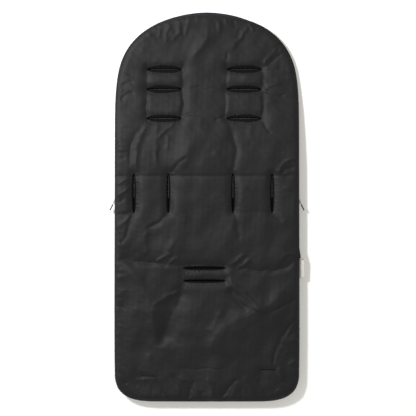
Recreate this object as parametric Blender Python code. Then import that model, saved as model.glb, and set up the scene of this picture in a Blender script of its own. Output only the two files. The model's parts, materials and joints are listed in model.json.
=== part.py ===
"""Padded footmuff for a stroller seat, lying on its front cover with its back up.

X runs across, Y towards the head end and Z up. The origin is on the floor under the middle.
All lengths are in metres. Left and right are as seen from above with the head end ahead.
"""

import math

import bmesh
import bpy
import numpy as np
from mathutils.geometry import delaunay_2d_cdt

# Overall size
LENGTH = 0.950
WIDTH = 0.451

# The outline: an arch at the head, straight sides, round corners at the foot
ARCH_DEPTH = 0.307
ARCH_SIDE_POWER = 1.91
ARCH_TOP_POWER = 4.10
CORNER_WIDTH = 0.110
CORNER_HEIGHT = 0.0785
CORNER_POWER = 2.985

# Cloth, fleece and wadding
SHELL = 0.0012
LINING = 0.0020
BACK_WADDING = 0.0110
COVER_WADDING = 0.0075
CROWN = 0.0015
GAP = 0.0003

# How the padding rolls down to the edge seams
HEM = 0.008
ROLL = 0.028
BACK_EDGE_SAG = 0.0032
COVER_EDGE_RISE = 0.0052

# Where the back comes down to the floor above the waist
WAIST_Y = 0.024
DROP_START_Y = 0.075
DROP_END_Y = 0.385

# Harness slots: the middle of each and its length
SLOT_WIDTH = 0.0072
SLOT_TAPER = 0.010
FACING_WALL = 0.0008
SLOT_SEAM = 0.004
SLOT_DENT_REACH = 0.013
SHOULDER_SLOT = 0.084
SHOULDER_LEFT_X = -0.1050
SHOULDER_RIGHT_X = 0.0905
SHOULDER_FROM_HEAD = {"upper": 0.137, "middle": 0.186, "lower": 0.258}
WAIST_SLOT = 0.096
WAIST_SLOT_Y = 0.034
WAIST_OUTER_LEFT_X = -0.1785
WAIST_INNER_LEFT_X = -0.0945
WAIST_INNER_RIGHT_X = 0.0635
WAIST_OUTER_RIGHT_X = 0.1590
CROTCH_SLOT = 0.102
CROTCH_SLOT_X = -0.0060
CROTCH_ROWS_Y = {"upper": -0.149, "lower": -0.180}

# Sewn channels across the back
WAIST_SEAM_Y = 0.076
WAIST_SEAM_REACH = 0.008
SEAT_CREASE_Y = -0.132
SEAT_CREASE_REACH = 0.024

# Bar tacks near the foot: the middle of each across, and up from the foot end
TACK_LENGTH = 0.036
TACK_WIDTH = 0.0024
TACK_HEIGHT = 0.0010
TACK_REACH = 0.016
TACK_PLACES = {"left_bar_tack": (-0.144, 0.063), "right_bar_tack": (0.150, 0.078)}

# Head elastic
ELASTIC_WIDTH = 0.0030
ELASTIC_THICKNESS = 0.0008
ELASTIC_INSET = 0.0042
ELASTIC_END_DEPTH = 0.150

# Foot gusset and top binding
GUSSET_THICKNESS = 0.0012
BINDING_DEPTH = 0.0045
BINDING_ROUND = 0.0015

# Zip chain
TAPE_THICKNESS = 0.0008
TAPE_HEIGHT = 0.0036
CHAIN_INSET = 0.0015
TOOTH_THICKNESS = 0.0022
TOOTH_SPINE = 0.0012
TOOTH_HEIGHT = 0.0020
TOOTH_TIP_GAP = 0.0004
TOOTH_PITCH = 0.0055
TOOTH_ROOT_SHARE = 0.60
TOOTH_FLANK_GAP = 0.0004
CHAIN_END_MARGIN = 0.016
STOP_LENGTH = 0.0032

# Slider and puller
SLIDER_LENGTH = 0.0140
FLANGE_WIDTH = 0.0019
FLANGE_TAIL_WIDTH = 0.0013
FLANGE_TAPE_GAP = 0.0004
WING_THICKNESS = 0.0009
WING_CLEARANCE = 0.00035
DIVIDER_LENGTH = 0.0052
DIVIDER_HEIGHT = 0.0036
DIVIDER_NOSE = 0.0008
BRIDGE_LENGTH = 0.0075
BRIDGE_WIDTH = 0.0022
BRIDGE_WALL = 0.0008
BRIDGE_SINK = 0.0002
PULLER_LENGTH = 0.0240
PULLER_WIDTH = 0.0058
PULLER_THICKNESS = 0.0011
PULLER_BAR = 0.0009
GRIP_START = 0.0075
GRIP_WIDTH = 0.0064
GRIP_THICKNESS = 0.0027
GRIP_CHAMFER = 0.0006
PULLER_REST_DEG = 26.0

# Side label
LABEL_LENGTH = 0.0465
LABEL_SHOWS = 0.0125
LABEL_THICKNESS = 0.0007
LABEL_Y = -0.1500

# How finely the cloth is divided
CORNER_STEPS = 6
FOOT_STEPS = 4
SIDE_STEPS = 12
ARCH_STEPS = 15
COVER_COLUMNS = 7
COVER_ROWS = 8
FILL_SPACING = 0.054
FILL_CLEAR = 0.024
SNAP = 0.00001
END_STEPS = 6

# Worked out from the sizes above
HALF = WIDTH / 2
HEAD_Y = LENGTH / 2
FOOT_Y = -LENGTH / 2
TACKS = {name: (x, FOOT_Y + up) for name, (x, up) in TACK_PLACES.items()}
FOLD_Y = FOOT_Y + CORNER_HEIGHT
HEM_RISE = math.sqrt(1 - (1 - HEM / ROLL) ** 2)
WALL_REACH_SHARE = (CHAIN_INSET + GUSSET_THICKNESS / 2) / HEM
COVER_EDGE_TOP = COVER_EDGE_RISE + SHELL + 2 * GAP + LINING
COVER_CLIMB = max(COVER_WADDING - COVER_EDGE_RISE, 0.0) * HEM_RISE * WALL_REACH_SHARE
BACK_FALL = BACK_EDGE_SAG * HEM_RISE * WALL_REACH_SHARE
CHAIN_HEIGHT = 2 * (GAP + TOOTH_SPINE) + TOOTH_HEIGHT + TOOTH_TIP_GAP
COVER_TAPE_LOW = COVER_EDGE_TOP + COVER_CLIMB + GAP
COVER_TAPE_HIGH = COVER_TAPE_LOW + TAPE_HEIGHT
BACK_TAPE_LOW = COVER_TAPE_HIGH + CHAIN_HEIGHT
BACK_TAPE_HIGH = BACK_TAPE_LOW + TAPE_HEIGHT
BACK_EDGE_BOTTOM = BACK_TAPE_HIGH + GAP + BACK_FALL
COVER_TOP_Y = WAIST_Y - BINDING_DEPTH - GAP
CHAIN_X = HALF - CHAIN_INSET
CHAIN_Z = (COVER_TAPE_HIGH + BACK_TAPE_LOW) / 2
SLIDER_Y = WAIST_Y - STOP_LENGTH - GAP - SLIDER_LENGTH / 2
DIVIDER_TIP_Y = SLIDER_Y + SLIDER_LENGTH / 2 - DIVIDER_LENGTH
CHAIN_TOP_Y = DIVIDER_TIP_Y - GAP
CHAIN_LOW_Y = FOLD_Y + CHAIN_END_MARGIN
WING_FACE = TOOTH_THICKNESS / 2 + WING_CLEARANCE + WING_THICKNESS
PULLER_STAND = PULLER_THICKNESS / 2 + GAP


def clear_scene():
    """Removes every object, so that the model starts from nothing."""
    for obj in list(bpy.data.objects):
        bpy.data.objects.remove(obj, do_unlink=True)


def material(name, colour, roughness, metallic=0.0):
    """Returns a Principled material with this colour, roughness and metallic value."""
    made = bpy.data.materials.new(name)
    made.use_nodes = True
    shader = made.node_tree.nodes["Principled BSDF"]
    shader.inputs["Base Color"].default_value = (*colour, 1.0)
    shader.inputs["Roughness"].default_value = roughness
    shader.inputs["Metallic"].default_value = metallic
    return made


def shell_cloth(name):
    """Returns the dark grey woven polyester of the outside."""
    return material(name, (0.031, 0.031, 0.033), 0.75)


def fleece(name):
    """Returns the deep purple fleece of the lining."""
    return material(name, (0.040, 0.018, 0.075), 0.95)


def wadding(name):
    """Returns the white polyester wadding."""
    return material(name, (0.80, 0.80, 0.78), 1.0)


def narrow_ware(name):
    """Returns the black woven tape of the zips, facings and bindings."""
    return material(name, (0.012, 0.012, 0.013), 0.8)


def moulded_nylon(name):
    """Returns the black nylon of the zip teeth."""
    return material(name, (0.009, 0.009, 0.010), 0.5)


def black_enamel(name):
    """Returns the black enamelled metal of the sliders and pullers."""
    return material(name, (0.010, 0.010, 0.011), 0.35, 0.6)


def white_satin(name):
    """Returns the white satin tape of the label."""
    return material(name, (0.82, 0.82, 0.80), 0.55)


def node(name, form, finish, parent=None, origin=(0.0, 0.0, 0.0)):
    """Adds one object with this mesh, whose points are given in the world, about its origin."""
    bmesh.ops.recalc_face_normals(form, faces=form.faces)
    bmesh.ops.translate(form, verts=form.verts, vec=[-value for value in origin])
    mesh = bpy.data.meshes.new(name)
    form.to_mesh(mesh)
    form.free()
    mesh.materials.append(finish(name))
    obj = bpy.data.objects.new(name, mesh)
    bpy.context.scene.collection.objects.link(obj)
    obj.location = origin
    if parent is not None:
        obj.parent = parent
        obj.matrix_parent_inverse = parent.matrix_world.inverted()
    return obj


def pivot(name, place, parent=None):
    """Adds an empty that stands on a joint's axis and carries what moves with it."""
    empty = bpy.data.objects.new(name, None)
    bpy.context.scene.collection.objects.link(empty)
    empty.location = place
    bpy.context.view_layer.update()
    if parent is not None:
        empty.parent = parent
        empty.matrix_parent_inverse = parent.matrix_world.inverted()
        bpy.context.view_layer.update()
    return empty


def corner_point(share):
    """Returns a point of the right foot corner, from the foot edge at 0 to the side at 1."""
    angle = share * math.pi / 2
    across = math.sin(angle) ** (2 / CORNER_POWER)
    up = 1 - math.cos(angle) ** (2 / CORNER_POWER)
    return HALF - CORNER_WIDTH * (1 - across), FOOT_Y + CORNER_HEIGHT * up


def arch_point(share):
    """Returns a point of the right half of the arch, from the side at 0 to the top at 1."""
    angle = (1 - share) * math.pi / 2
    across = math.sin(angle) ** (2 / ARCH_SIDE_POWER)
    up = math.cos(angle) ** (2 / ARCH_TOP_POWER)
    return HALF * across, HEAD_Y - ARCH_DEPTH * (1 - up)


def even_steps(curve, steps):
    """Returns points at even steps along a curve given as a function of a share from 0 to 1."""
    fine_steps = 400
    fine = np.array([curve(index / fine_steps) for index in range(fine_steps + 1)])
    along = np.concatenate([[0.0], np.cumsum(np.linalg.norm(np.diff(fine, axis=0), axis=1))])
    wanted = np.linspace(0.0, along[-1], steps + 1)
    return np.stack([np.interp(wanted, along, fine[:, axis]) for axis in range(2)], axis=1)


def right_outline():
    """Returns the right half of the outline, from the middle of the foot to the top of the arch."""
    foot_end = HALF - CORNER_WIDTH
    side_end = HEAD_Y - ARCH_DEPTH
    foot = [(foot_end * step / FOOT_STEPS, FOOT_Y) for step in range(FOOT_STEPS)]
    corner = even_steps(corner_point, CORNER_STEPS)[:-1]
    side_rise = (side_end - FOLD_Y) / SIDE_STEPS
    side = [(HALF, FOLD_Y + side_rise * step) for step in range(SIDE_STEPS)]
    arch = even_steps(arch_point, ARCH_STEPS)
    arch[-1][0] = 0.0
    return np.concatenate([foot, corner, side, arch])


def mirrored(half):
    """Returns a closed loop from its right half, whose two ends lie on the middle line."""
    left = half[1:-1][::-1] * np.array([-1.0, 1.0])
    return np.concatenate([half, left])


def inset_loop(loop, distance):
    """Moves a loop that runs anticlockwise inwards by a distance, square to its edges."""
    ahead = np.roll(loop, -1, axis=0) - loop
    behind = loop - np.roll(loop, 1, axis=0)
    normals = []
    for edge in (ahead, behind):
        inward = np.stack([-edge[:, 1], edge[:, 0]], axis=1)
        normals.append(inward / np.linalg.norm(inward, axis=1, keepdims=True))
    middle = normals[0] + normals[1]
    middle /= np.linalg.norm(middle, axis=1, keepdims=True)
    lean = np.sum(middle * normals[0], axis=1, keepdims=True)
    return loop + middle * distance / lean


OUTLINE = mirrored(right_outline())


def edge_distance(points):
    """Returns how far each point lies from the outline."""
    starts = OUTLINE
    runs = np.roll(OUTLINE, -1, axis=0) - starts
    offset = points[:, None, :] - starts[None]
    share = np.sum(offset * runs, axis=2) / np.sum(runs * runs, axis=1)
    nearest = starts + np.clip(share, 0, 1)[..., None] * runs
    return np.linalg.norm(points[:, None, :] - nearest, axis=2).min(axis=1)


def inside(points, loop):
    """Tells which points lie inside a loop, by counting the edges to one side of each."""
    x, y = points[:, :1], points[:, 1:]
    start, end = loop, np.roll(loop, -1, axis=0)
    rises = end[:, 1] - start[:, 1]
    rises = np.where(rises == 0, np.inf, rises)
    crosses = (start[:, 1] > y) != (end[:, 1] > y)
    meet = start[:, 0] + (y - start[:, 1]) / rises * (end[:, 0] - start[:, 0])
    return np.sum(crosses & (x < meet), axis=1) % 2 == 1


class Slot:
    """A harness slot: its middle, its length, and whether it runs across or up the back."""

    def __init__(self, name, x, y, length, upright=False):
        self.name = name
        self.middle = np.array([x, y])
        self.length = length
        self.along = np.array([0.0, 1.0]) if upright else np.array([1.0, 0.0])
        self.aside = np.array([-self.along[1], self.along[0]])

    def loop(self, grow=0.0):
        """Returns the slot's outline, grown all round, which narrows to its sewn ends."""
        end = self.length / 2 + grow
        side = SLOT_WIDTH / 2 + grow
        shoulder = end - SLOT_TAPER
        places = [(end, 0), (shoulder, side), (0, side), (-shoulder, side)]
        places += [(-end, 0), (-shoulder, -side), (0, -side), (shoulder, -side)]
        return np.array([self.middle + u * self.along + v * self.aside for u, v in places])

    def distance(self, points):
        """Returns how far each point lies from the slot's middle line."""
        offset = points - self.middle
        reach = self.length / 2 - SLOT_TAPER
        past = np.clip(np.abs(offset @ self.along) - reach, 0, None)
        return np.hypot(past, offset @ self.aside)


def all_slots():
    """Returns the twelve harness slots."""
    slots = []
    for row, from_head in SHOULDER_FROM_HEAD.items():
        y = HEAD_Y - from_head
        slots.append(Slot(f"left_shoulder_{row}", SHOULDER_LEFT_X, y, SHOULDER_SLOT))
        slots.append(Slot(f"right_shoulder_{row}", SHOULDER_RIGHT_X, y, SHOULDER_SLOT))
    waist_places = {
        "left_waist_outer": WAIST_OUTER_LEFT_X,
        "left_waist_inner": WAIST_INNER_LEFT_X,
        "right_waist_inner": WAIST_INNER_RIGHT_X,
        "right_waist_outer": WAIST_OUTER_RIGHT_X,
    }
    for name, x in waist_places.items():
        slots.append(Slot(name, x, WAIST_SLOT_Y, WAIST_SLOT, upright=True))
    for row, y in CROTCH_ROWS_Y.items():
        slots.append(Slot(f"crotch_{row}", CROTCH_SLOT_X, y, CROTCH_SLOT))
    return slots


SLOTS = all_slots()


def roll_share(distance):
    """Returns how far the padding has risen at a distance from the edge, from 0 to 1."""
    inward = np.clip(distance / ROLL, 0, 1)
    return np.sqrt(1 - (1 - inward) ** 2)


def bump(offset, reach):
    """Returns a soft bump that is 1 at no offset and fades past its reach."""
    return np.exp(-((offset / reach) ** 2))


def drop(points):
    """Returns how much lower the back lies above the waist than over the front cover."""
    share = np.clip((points[:, 1] - DROP_START_Y) / (DROP_END_Y - DROP_START_Y), 0, 1)
    full = BACK_EDGE_BOTTOM - BACK_EDGE_SAG
    return full * (1 - np.cos(share * math.pi)) / 2


def back_channels(points):
    """Returns what share of its thickness the back loses in its seams, slots and tacks."""
    slot_share, seam_share, crease_share, tack_share = 0.62, 0.28, 0.30, 0.45
    kept = 1 - seam_share * bump(points[:, 1] - WAIST_SEAM_Y, WAIST_SEAM_REACH)
    kept *= 1 - crease_share * bump(points[:, 1] - SEAT_CREASE_Y, SEAT_CREASE_REACH)
    for slot in SLOTS:
        kept *= 1 - slot_share * bump(slot.distance(points), SLOT_DENT_REACH)
    for x, y in TACKS.values():
        past = np.clip(np.abs(points[:, 0] - x) - TACK_LENGTH / 2, 0, None)
        kept *= 1 - tack_share * bump(np.hypot(past, points[:, 1] - y), TACK_REACH)
    return kept


class BackLevels:
    """The heights of the back panel's layers, from the lining up to the shell."""

    @staticmethod
    def lining_low(points):
        sag = BACK_EDGE_SAG * roll_share(edge_distance(points))
        return BACK_EDGE_BOTTOM - sag - drop(points)

    @classmethod
    def lining_high(cls, points):
        return cls.lining_low(points) + LINING

    @classmethod
    def wadding_low(cls, points):
        return cls.lining_high(points) + GAP

    @classmethod
    def wadding_high(cls, points):
        crown = CROWN * (1 - (points[:, 0] / HALF) ** 2)
        fill = (BACK_WADDING + crown) * roll_share(edge_distance(points))
        return cls.wadding_low(points) + fill * back_channels(points)

    @classmethod
    def shell_low(cls, points):
        return cls.wadding_high(points) + GAP

    @classmethod
    def shell_high(cls, points):
        return cls.shell_low(points) + SHELL


class CoverLevels:
    """The heights of the front cover's layers, from the shell up to the lining."""

    @staticmethod
    def waist_roll(points):
        """Returns the roll towards the sides and, more steeply, the top edge."""
        sides = roll_share(edge_distance(points))
        top = roll_share(np.clip(COVER_TOP_Y - points[:, 1], 0, None))
        edge_share = 0.4
        return np.minimum(sides, edge_share + (1 - edge_share) * top)

    @classmethod
    def shell_low(cls, points):
        rise = COVER_EDGE_RISE * (1 - cls.waist_roll(points))
        return np.where(rise < GAP / 10, 0.0, rise)

    @classmethod
    def shell_high(cls, points):
        return cls.shell_low(points) + SHELL

    @classmethod
    def wadding_low(cls, points):
        return cls.shell_high(points) + GAP

    @classmethod
    def wadding_high(cls, points):
        return cls.wadding_low(points) + COVER_WADDING * cls.waist_roll(points)

    @classmethod
    def lining_low(cls, points):
        return cls.wadding_high(points) + GAP

    @classmethod
    def lining_high(cls, points):
        return cls.lining_low(points) + LINING


def fill_points(taken, limit, bottom_y, top_y):
    """Returns loose points on staggered rows that keep clear of the points already placed."""
    row_step = FILL_SPACING * math.sqrt(3) / 2
    rows = int((top_y - bottom_y) / row_step) + 1
    columns = int(WIDTH / FILL_SPACING) + 1
    found = []
    for row in range(rows):
        for column in range(-columns, columns + 1):
            x = (column + (row % 2) / 2) * FILL_SPACING
            place = np.array([x, bottom_y + row * row_step])
            near = np.linalg.norm(taken - place, axis=1).min()
            if near >= FILL_CLEAR and inside(place[None], limit)[0]:
                found.append(place)
    return np.array(found).reshape(-1, 2)


def channel_points(y, reach, taken):
    """Returns rows of points along a channel and at its two shoulders."""
    count = int(WIDTH / FILL_SPACING)
    limit = inset_loop(OUTLINE, ROLL + HEM)
    found = []
    for row_y in (y - 2 * reach, y, y + 2 * reach):
        for step in range(-count, count + 1):
            place = np.array([step * FILL_SPACING * 3 / 4, row_y])
            near = np.linalg.norm(taken - place, axis=1).min()
            if near >= FILL_CLEAR / 2 and inside(place[None], limit)[0]:
                found.append(place)
    return np.array(found).reshape(-1, 2)


class Flat:
    """A flat triangulation that all the layers of one panel share."""

    def __init__(self, points, faces):
        self.points = points
        self.faces = faces
        self.middles = points[faces].mean(axis=1)

    @classmethod
    def from_loops(cls, loops, loose):
        """Triangulates closed loops, whose edges are kept, and the loose points among them."""
        edges, first = [], 0
        for loop in loops:
            count = len(loop)
            edges += [(first + step, first + (step + 1) % count) for step in range(count)]
            first += count
        points = [tuple(place) for place in np.concatenate([*loops, loose])]
        made = delaunay_2d_cdt(points, edges, [], 0, SNAP)
        places = np.array([(place.x, place.y) for place in made[0]])
        return cls(places, np.array([list(face) for face in made[2]]))

    @classmethod
    def from_grid(cls, xs, ys):
        """Triangulates a grid of columns and rows."""
        points = np.array([(x, y) for y in ys for x in xs])
        faces = []
        for row in range(len(ys) - 1):
            for column in range(len(xs) - 1):
                low = row * len(xs) + column
                high = low + len(xs)
                faces += [(low, low + 1, high + 1), (low, high + 1, high)]
        return cls(points, np.array(faces))

    def within(self, outer, holes=()):
        """Returns the triangles inside one loop and outside the others."""
        keep = inside(self.middles, outer)
        for hole in holes:
            keep &= ~inside(self.middles, hole)
        return self.faces[keep]


def layer(flat, faces, low, high):
    """Returns a closed sheet over some of a panel's triangles, between two levels."""
    form = bmesh.new()
    verts = {index: form.verts.new((*flat.points[index], 0.0)) for index in np.unique(faces)}
    for face in faces:
        form.faces.new([verts[index] for index in face])
    bottom = form.verts[:]
    raised = bmesh.ops.extrude_face_region(form, geom=form.faces[:])["geom"]
    top = [item for item in raised if isinstance(item, bmesh.types.BMVert)]
    for side, level in ((bottom, low), (top, high)):
        heights = level(np.array([vert.co.xy for vert in side], dtype=float))
        for vert, height in zip(side, heights):
            vert.co.z = height
    return form


def tube(rings):
    """Joins loops of points, each to the next and the last to the first."""
    form = bmesh.new()
    verts = [[form.verts.new(place) for place in ring] for ring in rings]
    count = len(verts[0])
    for first, second in zip(verts, verts[1:] + verts[:1]):
        for step in range(count):
            after = (step + 1) % count
            form.faces.new((first[step], first[after], second[after], second[step]))
    return form


def loft(sections):
    """Joins loops of points, each to the next, and closes the first and the last."""
    form = bmesh.new()
    verts = [[form.verts.new(place) for place in section] for section in sections]
    count = len(verts[0])
    for first, second in zip(verts, verts[1:]):
        for step in range(count):
            after = (step + 1) % count
            form.faces.new((first[step], first[after], second[after], second[step]))
    form.faces.new(verts[0][::-1])
    form.faces.new(verts[-1])
    return form


def box(low, high):
    """Returns a box between two opposite corners."""
    low, high = np.minimum(low, high), np.maximum(low, high)
    form = bmesh.new()
    bmesh.ops.create_cube(form, size=1.0)
    bmesh.ops.scale(form, verts=form.verts, vec=high - low)
    bmesh.ops.translate(form, verts=form.verts, vec=(low + high) / 2)
    return form


def raised_loop(loop, heights):
    """Returns a flat loop's points with a height for each."""
    return [(x, y, z) for (x, y), z in zip(loop, heights)]


def combine(target, other, operation):
    """Adds a Boolean with another object, which turns into a hidden guide."""
    step = target.modifiers.new(other.name, "BOOLEAN")
    step.operation = operation
    step.solver = "EXACT"
    step.object = other
    other.hide_render = True
    other.display_type = "WIRE"


def tack_loop(x, y):
    """Returns the outline of a bar tack, with points at its ends and its middle."""
    half = np.array([TACK_LENGTH / 2, TACK_WIDTH / 2])
    corners = [(-1, -1), (0, -1), (1, -1), (1, 1), (0, 1), (-1, 1)]
    return np.array([(x, y) + half * corner for corner in corners])


def back_panel():
    """Builds the shell, wadding and lining of the back, which share one triangulation."""
    rings = [OUTLINE, inset_loop(OUTLINE, HEM), inset_loop(OUTLINE, ROLL)]
    slots = [slot.loop() for slot in SLOTS]
    seams = [slot.loop(SLOT_SEAM) for slot in SLOTS]
    loops = rings + slots + seams + [tack_loop(x, y) for x, y in TACKS.values()]
    taken = np.concatenate(loops)
    fixed = len(taken)
    for y, reach in ((WAIST_SEAM_Y, WAIST_SEAM_REACH), (SEAT_CREASE_Y, SEAT_CREASE_REACH)):
        taken = np.concatenate([taken, channel_points(y, reach, taken)])
    limit = inset_loop(OUTLINE, ROLL + FILL_CLEAR / 2)
    filled = fill_points(taken, limit, FOOT_Y, HEAD_Y)
    flat = Flat.from_loops(loops, np.concatenate([taken[fixed:], filled]))
    levels = BackLevels
    skin = flat.within(rings[0], slots)
    core = flat.within(rings[1], seams)
    node("back_shell", layer(flat, skin, levels.shell_low, levels.shell_high), shell_cloth)
    node("back_lining", layer(flat, skin, levels.lining_low, levels.lining_high), fleece)
    node("back_wadding", layer(flat, core, levels.wadding_low, levels.wadding_high), wadding)


def slot_facings():
    """Builds the sleeve of tape that lines each harness slot."""
    for slot in SLOTS:
        low = BackLevels.lining_low(slot.loop())
        high = BackLevels.shell_high(slot.loop())
        outer = slot.loop(-GAP)
        inner = slot.loop(-GAP - FACING_WALL)
        corners = ((outer, low), (outer, high), (inner, high), (inner, low))
        rings = [raised_loop(loop, heights) for loop, heights in corners]
        node(f"{slot.name}_slot_facing", tube(rings), narrow_ware)


def bar_tacks():
    """Builds the two bars of close stitching that hold the back's layers near the foot."""
    for name, (x, y) in TACKS.items():
        loop = tack_loop(x, y)
        seat = BackLevels.shell_high(loop) + GAP
        node(name, loft([raised_loop(loop, seat), raised_loop(loop, seat + TACK_HEIGHT)]), narrow_ware)


def head_elastic():
    """Builds the flat elastic that lies on the lining inside the hem of the arch."""
    edge_floor = BackLevels.lining_high(OUTLINE)
    hem_floor = BackLevels.lining_high(inset_loop(OUTLINE, HEM))
    sides = []
    for inset in (ELASTIC_INSET, ELASTIC_INSET + ELASTIC_WIDTH):
        share = inset / HEM
        floor = (1 - share) * edge_floor + share * hem_floor + GAP
        loop = inset_loop(OUTLINE, inset)
        sides.append((raised_loop(loop, floor), raised_loop(loop, floor + ELASTIC_THICKNESS)))
    (outer_low, outer_high), (inner_low, inner_high) = sides
    stations = np.flatnonzero(OUTLINE[:, 1] > HEAD_Y - ELASTIC_END_DEPTH)
    sections = [
        (outer_low[at], inner_low[at], inner_high[at], outer_high[at]) for at in stations
    ]
    node("head_elastic", loft(sections), narrow_ware)


def foot_loop(inset):
    """Returns the outline round the foot, from the left end of the fold to the right."""
    steps = FOOT_STEPS + CORNER_STEPS
    loop = np.roll(inset_loop(OUTLINE, inset), steps, axis=0)[: 2 * steps + 1]
    loop[0] = (-HALF + inset, FOLD_Y)
    loop[-1] = (HALF - inset, FOLD_Y)
    return loop


def foot_section():
    """Builds the part of the front cover below the fold, and the gusset round the foot."""
    loops = [foot_loop(0.0), foot_loop(HEM)]
    roll = foot_loop(ROLL)
    filled = fill_points(np.concatenate([*loops, roll]), roll, FOOT_Y, FOLD_Y - FILL_CLEAR)
    fold = [(x, FOLD_Y) for x in np.linspace(roll[0][0], roll[-1][0], COVER_COLUMNS)[1:-1]]
    flat = Flat.from_loops(loops, np.concatenate([roll, fold, filled]))
    levels = CoverLevels
    skin = flat.within(loops[0])
    core = flat.within(loops[1])
    node("foot_shell", layer(flat, skin, levels.shell_low, levels.shell_high), shell_cloth)
    node("foot_wadding", layer(flat, core, levels.wadding_low, levels.wadding_high), wadding)
    node("foot_lining", layer(flat, skin, levels.lining_low, levels.lining_high), fleece)

    outer = foot_loop(CHAIN_INSET - GUSSET_THICKNESS / 2)
    inner = foot_loop(CHAIN_INSET + GUSSET_THICKNESS / 2)
    sections = [
        [(*a, COVER_TAPE_LOW), (*b, COVER_TAPE_LOW), (*b, BACK_TAPE_HIGH), (*a, BACK_TAPE_HIGH)]
        for a, b in zip(outer, inner)
    ]
    node("foot_gusset", loft(sections), shell_cloth)


def side_label():
    """Builds the folded tape that stands out of the right side seam."""
    low = (CHAIN_X + TAPE_THICKNESS / 2 + GAP, LABEL_Y - LABEL_LENGTH / 2)
    high = (HALF + LABEL_SHOWS, LABEL_Y + LABEL_LENGTH / 2)
    form = box((*low, BACK_TAPE_HIGH - LABEL_THICKNESS), (*high, BACK_TAPE_HIGH))
    node("side_label", form, white_satin)


def front_cover():
    """Builds the front cover, which folds down about the line where the zips end."""
    hinge = pivot("cover_hinge", (0.0, FOLD_Y + GAP / 2, 0.0))
    side = [-HALF, -HALF + HEM]
    middle = np.linspace(-HALF + ROLL, HALF - ROLL, COVER_COLUMNS)
    xs = [*side, *middle, *[-x for x in reversed(side)]]
    ys = [*np.linspace(FOLD_Y + GAP, COVER_TOP_Y - ROLL, COVER_ROWS), COVER_TOP_Y - HEM, COVER_TOP_Y]
    flat = Flat.from_grid(xs, ys)
    skin = flat.faces
    low, high = (-HALF + HEM, FOLD_Y), (HALF - HEM, COVER_TOP_Y - HEM)
    core = flat.within(np.array([low, (high[0], low[1]), high, (low[0], high[1])]))
    levels = CoverLevels
    cover_pieces = {
        "apron_shell": (skin, levels.shell_low, levels.shell_high, shell_cloth),
        "apron_wadding": (core, levels.wadding_low, levels.wadding_high, wadding),
        "apron_lining": (skin, levels.lining_low, levels.lining_high, fleece),
    }
    for name, (faces, bottom, top, finish) in cover_pieces.items():
        node(name, layer(flat, faces, bottom, top), finish, hinge, hinge.location)
    apron_binding(np.array(xs), hinge)
    return hinge


def apron_binding(xs, hinge):
    """Builds the binding along the front cover's top edge, rounded on its outer side."""
    edge = np.stack([xs, np.full(len(xs), COVER_TOP_Y)], axis=1)
    low, high = CoverLevels.shell_low(edge), CoverLevels.lining_high(edge)
    back, face = COVER_TOP_Y + GAP, WAIST_Y
    sections = []
    for x, bottom, top in zip(xs, low, high):
        rows = ((back, bottom), (face - BINDING_ROUND, bottom), (face, bottom + BINDING_ROUND))
        rows += ((face, top - BINDING_ROUND), (face - BINDING_ROUND, top), (back, top))
        sections.append([(x, y, z) for y, z in rows])
    node("apron_binding", loft(sections), narrow_ware, hinge, hinge.location)


def zip_tape(name, side, low_z, high_z, **carried):
    """Builds one zip tape, a strip that stands in the side wall."""
    low = (side * CHAIN_X - TAPE_THICKNESS / 2, FOLD_Y + GAP, low_z)
    high = (side * CHAIN_X + TAPE_THICKNESS / 2, WAIST_Y, high_z)
    node(name, box(low, high), narrow_ware, **carried)


def zip_teeth(name, side, seat_z, rise, shift, **carried):
    """Builds one row of teeth on its spine, whose teeth point up or down by the sign of rise."""
    root = TOOTH_PITCH * TOOTH_ROOT_SHARE
    overlap = root - TOOTH_PITCH / 2 + TOOTH_FLANK_GAP
    taper = overlap * TOOTH_HEIGHT / (TOOTH_HEIGHT + TOOTH_TIP_GAP)
    tip = root - 2 * taper
    x = side * CHAIN_X - TOOTH_THICKNESS / 2
    spine_z = seat_z + rise * TOOTH_SPINE
    tip_z = spine_z + rise * TOOTH_HEIGHT
    count = int((CHAIN_TOP_Y - CHAIN_LOW_Y) / TOOTH_PITCH) - 1
    form = bmesh.new()
    ends = [form.verts.new((x, CHAIN_LOW_Y, z)) for z in (seat_z, spine_z)]
    for index in range(count):
        middle = CHAIN_LOW_Y + (index + 0.75 + shift) * TOOTH_PITCH
        ys = (middle - root / 2, middle - tip / 2, middle + tip / 2, middle + root / 2)
        zs = (spine_z, tip_z, tip_z, spine_z)
        tooth = [form.verts.new((x, y, z)) for y, z in zip(ys, zs)]
        below = form.verts.new((x, ys[0], seat_z))
        form.faces.new((ends[0], below, tooth[0], *ends[1:]))
        form.faces.new(tooth)
        ends = [below, tooth[-1], tooth[0]]
    last = [form.verts.new((x, CHAIN_TOP_Y, z)) for z in (seat_z, spine_z)]
    form.faces.new((ends[0], last[0], last[1], *ends[1:]))
    raised = bmesh.ops.extrude_face_region(form, geom=form.faces[:])["geom"]
    moved = [item for item in raised if isinstance(item, bmesh.types.BMVert)]
    bmesh.ops.translate(form, verts=moved, vec=(TOOTH_THICKNESS, 0.0, 0.0))
    node(name, form, moulded_nylon, **carried)


def zip_stop(name, side, low, high, **carried):
    """Builds a stop, a crimped block between two places along and up the chain."""
    reach = TOOTH_THICKNESS / 2
    low_corner = (side * CHAIN_X - reach, *low)
    form = box(low_corner, (side * CHAIN_X + reach, *high))
    node(name, form, black_enamel, **carried)


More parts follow.
